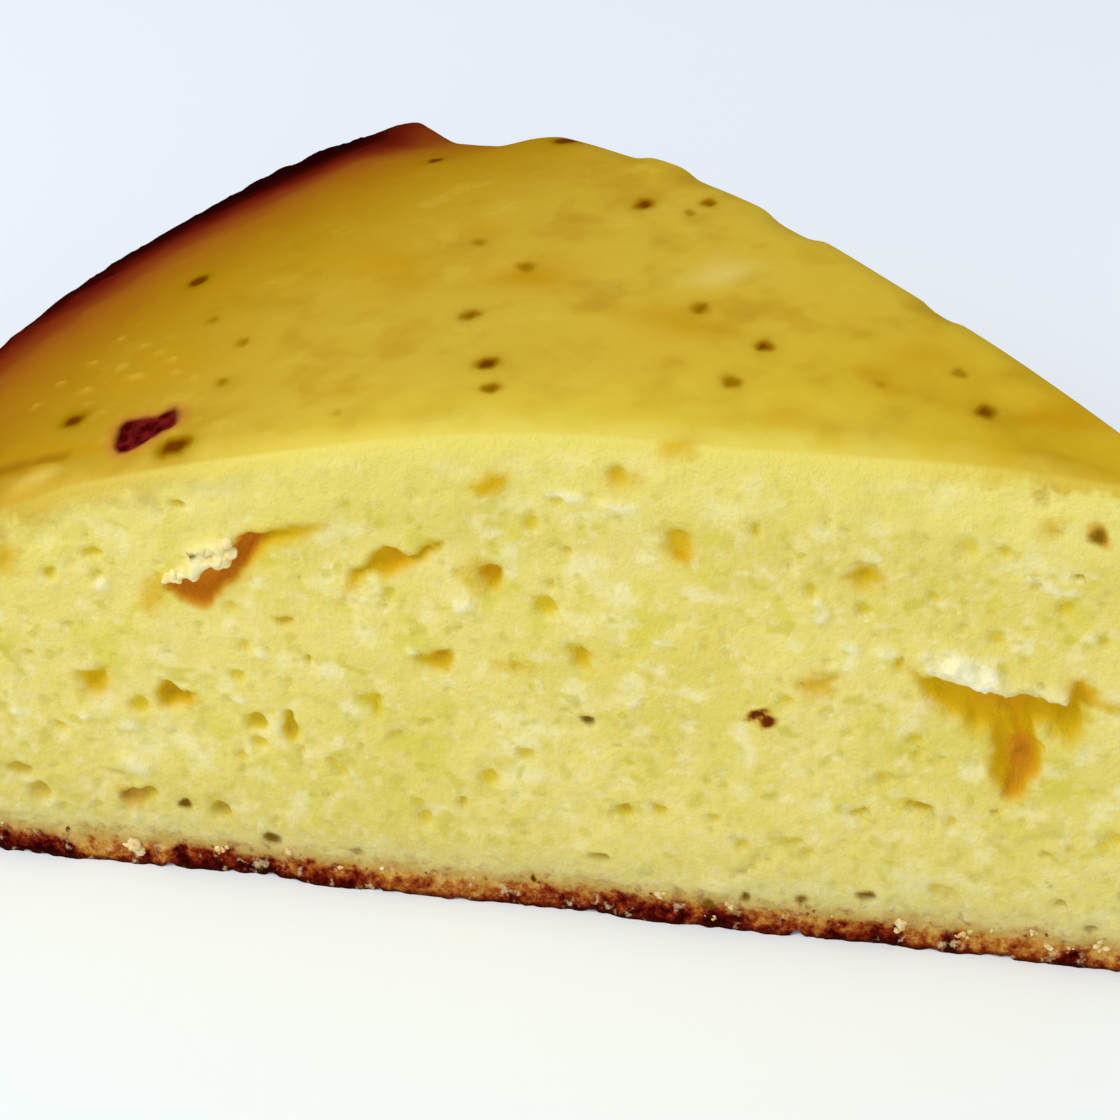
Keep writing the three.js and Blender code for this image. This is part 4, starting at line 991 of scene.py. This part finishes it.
# The depth of the air holes joins the hollow trait, which the material paints ochre as the light
# and shade in them
kept = add(tree, "GeometryNodeStoreNamedAttribute",
           {"Geometry": given["Geometry"], "Name": "hollow",
            "Value": calc("MAXIMUM", named("hollow"), opened)}, data_type="FLOAT", domain="POINT")
offset = vector("SCALE", named("outward", "FLOAT_VECTOR"), stand)
end_with(
    kept.outputs["Geometry"],
    ("GeometryNodeSetPosition", {"Offset": offset}),
    ("GeometryNodeRealizeInstances", {}),
    ("GeometryNodeSetMaterial", {"Material": sponge}),
)
run(slice_, pores, settings)
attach(slice_, "root")
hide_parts("cake_slice")

# Crumbs that hang on the torn edge of the bottom crust and cling to the cut: bits of the same
# sponge that the knife tore loose, pale from inside the cake or browned from its crust. Each is
# sunk into the cake by a little more than half.
TORN_CRUMBS = [  # distance from the tip, height, width
    (85.6, 1.4, 2.0), (79.7, 0.5, 0.8), (78.0, 2.1, 1.0), (71.8, 3.2, 1.1), (67.5, 1.5, 1.0),
    (40.7, 2.8, 1.0), (36.5, 0.7, 1.1), (34.9, 2.2, 1.2), (21.3, 1.8, 1.6), (16.0, 1.7, 1.2),
    (10.2, 3.2, 0.9), (9.1, 1.4, 1.0), (7.3, 1.5, 0.9), (5.0, 2.6, 1.5),
]
LIP_CRUMBS = [  # distance from the tip, height, width, and how far the lip stands out there
    (79.9, 31.0, 1.2, 0.3), (79.1, 31.4, 1.2, 0.4), (78.3, 31.7, 1.2, 0.4), (77.5, 32.4, 1.3, 0.5),
    (76.6, 33.0, 1.4, 0.5), (75.9, 33.3, 1.4, 0.5), (75.4, 33.8, 1.4, 0.5), (76.2, 34.2, 1.2, 0.4),
    (77.0, 33.7, 1.2, 0.4), (75.6, 34.5, 1.1, 0.4),
]
SMALL_CRUMBS, SMALL_HEIGHTS, SMALL_WIDTHS, FROM_CUT_ENDS = 60, (0.4, 3.0), (0.22, 0.5), 6
# How far the bits of a crumb stray from its place, in widths of it, and how low they may lie
BIT_ALONG, BIT_UP, BIT_LOWEST = 0.45, 0.4, 0.3
LUMP_SIZE = 0.6
random = np.random.default_rng(41)

crumb_group, given = geometry_tree("crumbs on a cut", {
    "lump size": "Float", "lump height": "Float", "smallest stretch": "Float",
    "largest stretch": "Float", "fineness": "Int", "seed": "Int", "crumb material": "Material",
})
tree = crumb_group


def scattered(low, high):
    """A random vector for each crumb."""
    return add(tree, "FunctionNodeRandomValue", {"Min": low, "Max": high, "Seed": given["seed"]},
               data_type="FLOAT_VECTOR").outputs["Value"]


ball = add(tree, "GeometryNodeMeshIcoSphere", {"Radius": 0.5, "Subdivisions": given["fineness"]})
wide = named("width")
least, most = (
    add(tree, "ShaderNodeCombineXYZ", {axis: given[f"{end} stretch"] for axis in "XYZ"}).outputs[0]
    for end in ("smallest", "largest")
)
strewn = add(tree, "GeometryNodeInstanceOnPoints", {
    "Points": given["Geometry"], "Instance": ball.outputs["Mesh"],
    "Rotation": scattered((0, 0, 0), (2 * math.pi,) * 3),
    "Scale": vector("SCALE", scattered(least, most), wide),
})
lumps = add(tree, "ShaderNodeTexNoise", {
    "Vector": add(tree, "GeometryNodeInputPosition").outputs[0],
    "Scale": calc("DIVIDE", 1.0, given["lump size"]), "Detail": 2.0,
})
lumps = vector("SUBTRACT", lumps.outputs["Color"], (0.5, 0.5, 0.5))
end_with(
    strewn.outputs["Instances"],
    ("GeometryNodeRealizeInstances", {}),
    ("GeometryNodeSetPosition",
     {"Offset": vector("SCALE", lumps, product(wide, given["lump height"]))}),
    ("GeometryNodeSetMaterial", {"Material": given["crumb material"]}),
)


def matt(name):
    """A new matt material, and the inputs of its shader."""
    look = bpy.data.materials.new(name)
    look.use_nodes = True
    shader = look.node_tree.nodes["Principled BSDF"].inputs
    shader["Roughness"].default_value = 0.9
    return look, shader


# Torn sponge, pale and matt, crust crumbs, toasted to a tan brown with darker corners, and the
# pale crumbs of the lip. Each kind has its listed rows, how many bits each row breaks into, their
# size as a share of it, how many more are strewn over both cuts, how fine and how far sunk into
# the cut they are, how lumpy, and their two colours.
for name, rows, bits, share, count, fineness, sunk, lumpy, low, high in (
    ("torn_crumbs", TORN_CRUMBS, 5, (0.35, 0.6), 0, 3, 0.12, 0.9, "#d8b46c", "#f2e0b0"),
    ("pale_crumbs", [], 0, (), SMALL_CRUMBS, 2, 0.12, 0.9, "#cfb468", "#ecdca4"),
    ("brown_crumbs", [], 0, (), SMALL_CRUMBS, 2, 0.12, 0.9, "#54200c", "#a8662c"),
    ("lip_crumbs", LIP_CRUMBS, 2, (0.6, 0.95), 0, 3, 0.3, 0.5, "#ecd690", "#f4e4aa"),
):
    rows = [
        (0, r + width * random.uniform(-BIT_ALONG, BIT_ALONG),
         max(z + width * random.uniform(-BIT_UP, BIT_UP), BIT_LOWEST),
         width * random.uniform(*share), *out)
        for r, z, width, *out in rows for _ in range(bits)
    ]
    for _ in range(count):
        rows.append((int(random.integers(0, 2)),
                     random.uniform(FROM_CUT_ENDS, CAKE_RADIUS - FROM_CUT_ENDS),
                     random.uniform(*SMALL_HEIGHTS), random.uniform(*SMALL_WIDTHS)))
    look, shader = matt(name.replace("_", " "))
    tree = look.node_tree
    tint = layered(low, (high, mask(spots(0.8), 0.35, 0.65, "LINEAR")))
    tree.links.new(tint, shader["Base Color"])
    shader["Specular IOR Level"].default_value = 0.0
    # Each crumb starts as a point just under the cut, with its width
    starts = []
    for cut, radius, height, width, *out in rows:
        relief = [0.0, 0.0]
        relief[cut] = sum(out) - sunk * width
        height = np.array(max(height, 0.55 * width))
        starts.append(skin_point(np.array(radius), float(cut), height, relief) + to_centre)
    cloud_mesh = bpy.data.meshes.new(name)
    cloud_mesh.from_pydata((np.array(starts) / PER_METRE).tolist(), [], [])
    sizes = cloud_mesh.attributes.new("width", "FLOAT", "POINT")
    sizes.data.foreach_set("value", np.array([row[3] for row in rows], np.float32) / PER_METRE)
    piece = placed(name, cloud_mesh)
    run(piece, crumb_group, {
        "lump size": LUMP_SIZE / PER_METRE, "lump height": lumpy, "smallest stretch": 0.6,
        "largest stretch": 1.3, "fineness": fineness, "seed": 7, "crumb material": look,
    })
    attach(piece, "root")

# The table: a plain pale sheet, larger than the view
floor_mesh = bpy.data.meshes.new("floor")
floor_mesh.from_pydata([(-3, -3, 0), (3, -3, 0), (3, 3, 0), (-3, 3, 0)], [], [(0, 1, 2, 3)])
floor = placed("floor", floor_mesh)
paper, shader = matt("matt white paper")
shader["Base Color"].default_value = linear("#f3f8fd")
floor_mesh.materials.append(paper)


def turn_to(thing, spot, aim):
    """Puts a lamp or the camera at a spot, and turns it to its aim."""
    thing.location = spot
    thing.rotation_euler = (Vector(aim) - Vector(spot)).to_track_quat("-Z", "Y").to_euler()


# Light: a bright, even room, a broad soft lamp over the near left, and a weaker one at the front
world = bpy.data.worlds.new("soft room")
world.use_nodes = True
background = world.node_tree.nodes["Background"]
background.inputs["Color"].default_value = linear("#f4f8ff")
background.inputs["Strength"].default_value = 0.58
bpy.context.scene.world = world
for name, spot, power in (
    ("key lamp", (-0.30, -0.45, 0.75), 4.7), ("front lamp", (0.45, -0.80, 0.35), 1.35),
):
    lamp = bpy.data.lights.new(name, "AREA")
    lamp.size = 0.6
    lamp.energy = power
    turn_to(placed(name, lamp), spot, aim=(0, 0, 0.02))
bpy.context.scene.view_settings.view_transform = "Standard"

# The camera, as the photograph was taken: from the right of the front cut, looking down on it
camera = bpy.data.cameras.new("camera")
camera.lens = 100
camera.sensor_width = 36
viewer = placed("camera", camera)
turn_to(viewer, spot=(0.1046, -0.1784, 0.1810), aim=(0.0094, -0.0182, 0.0365))
bpy.context.scene.camera = viewer
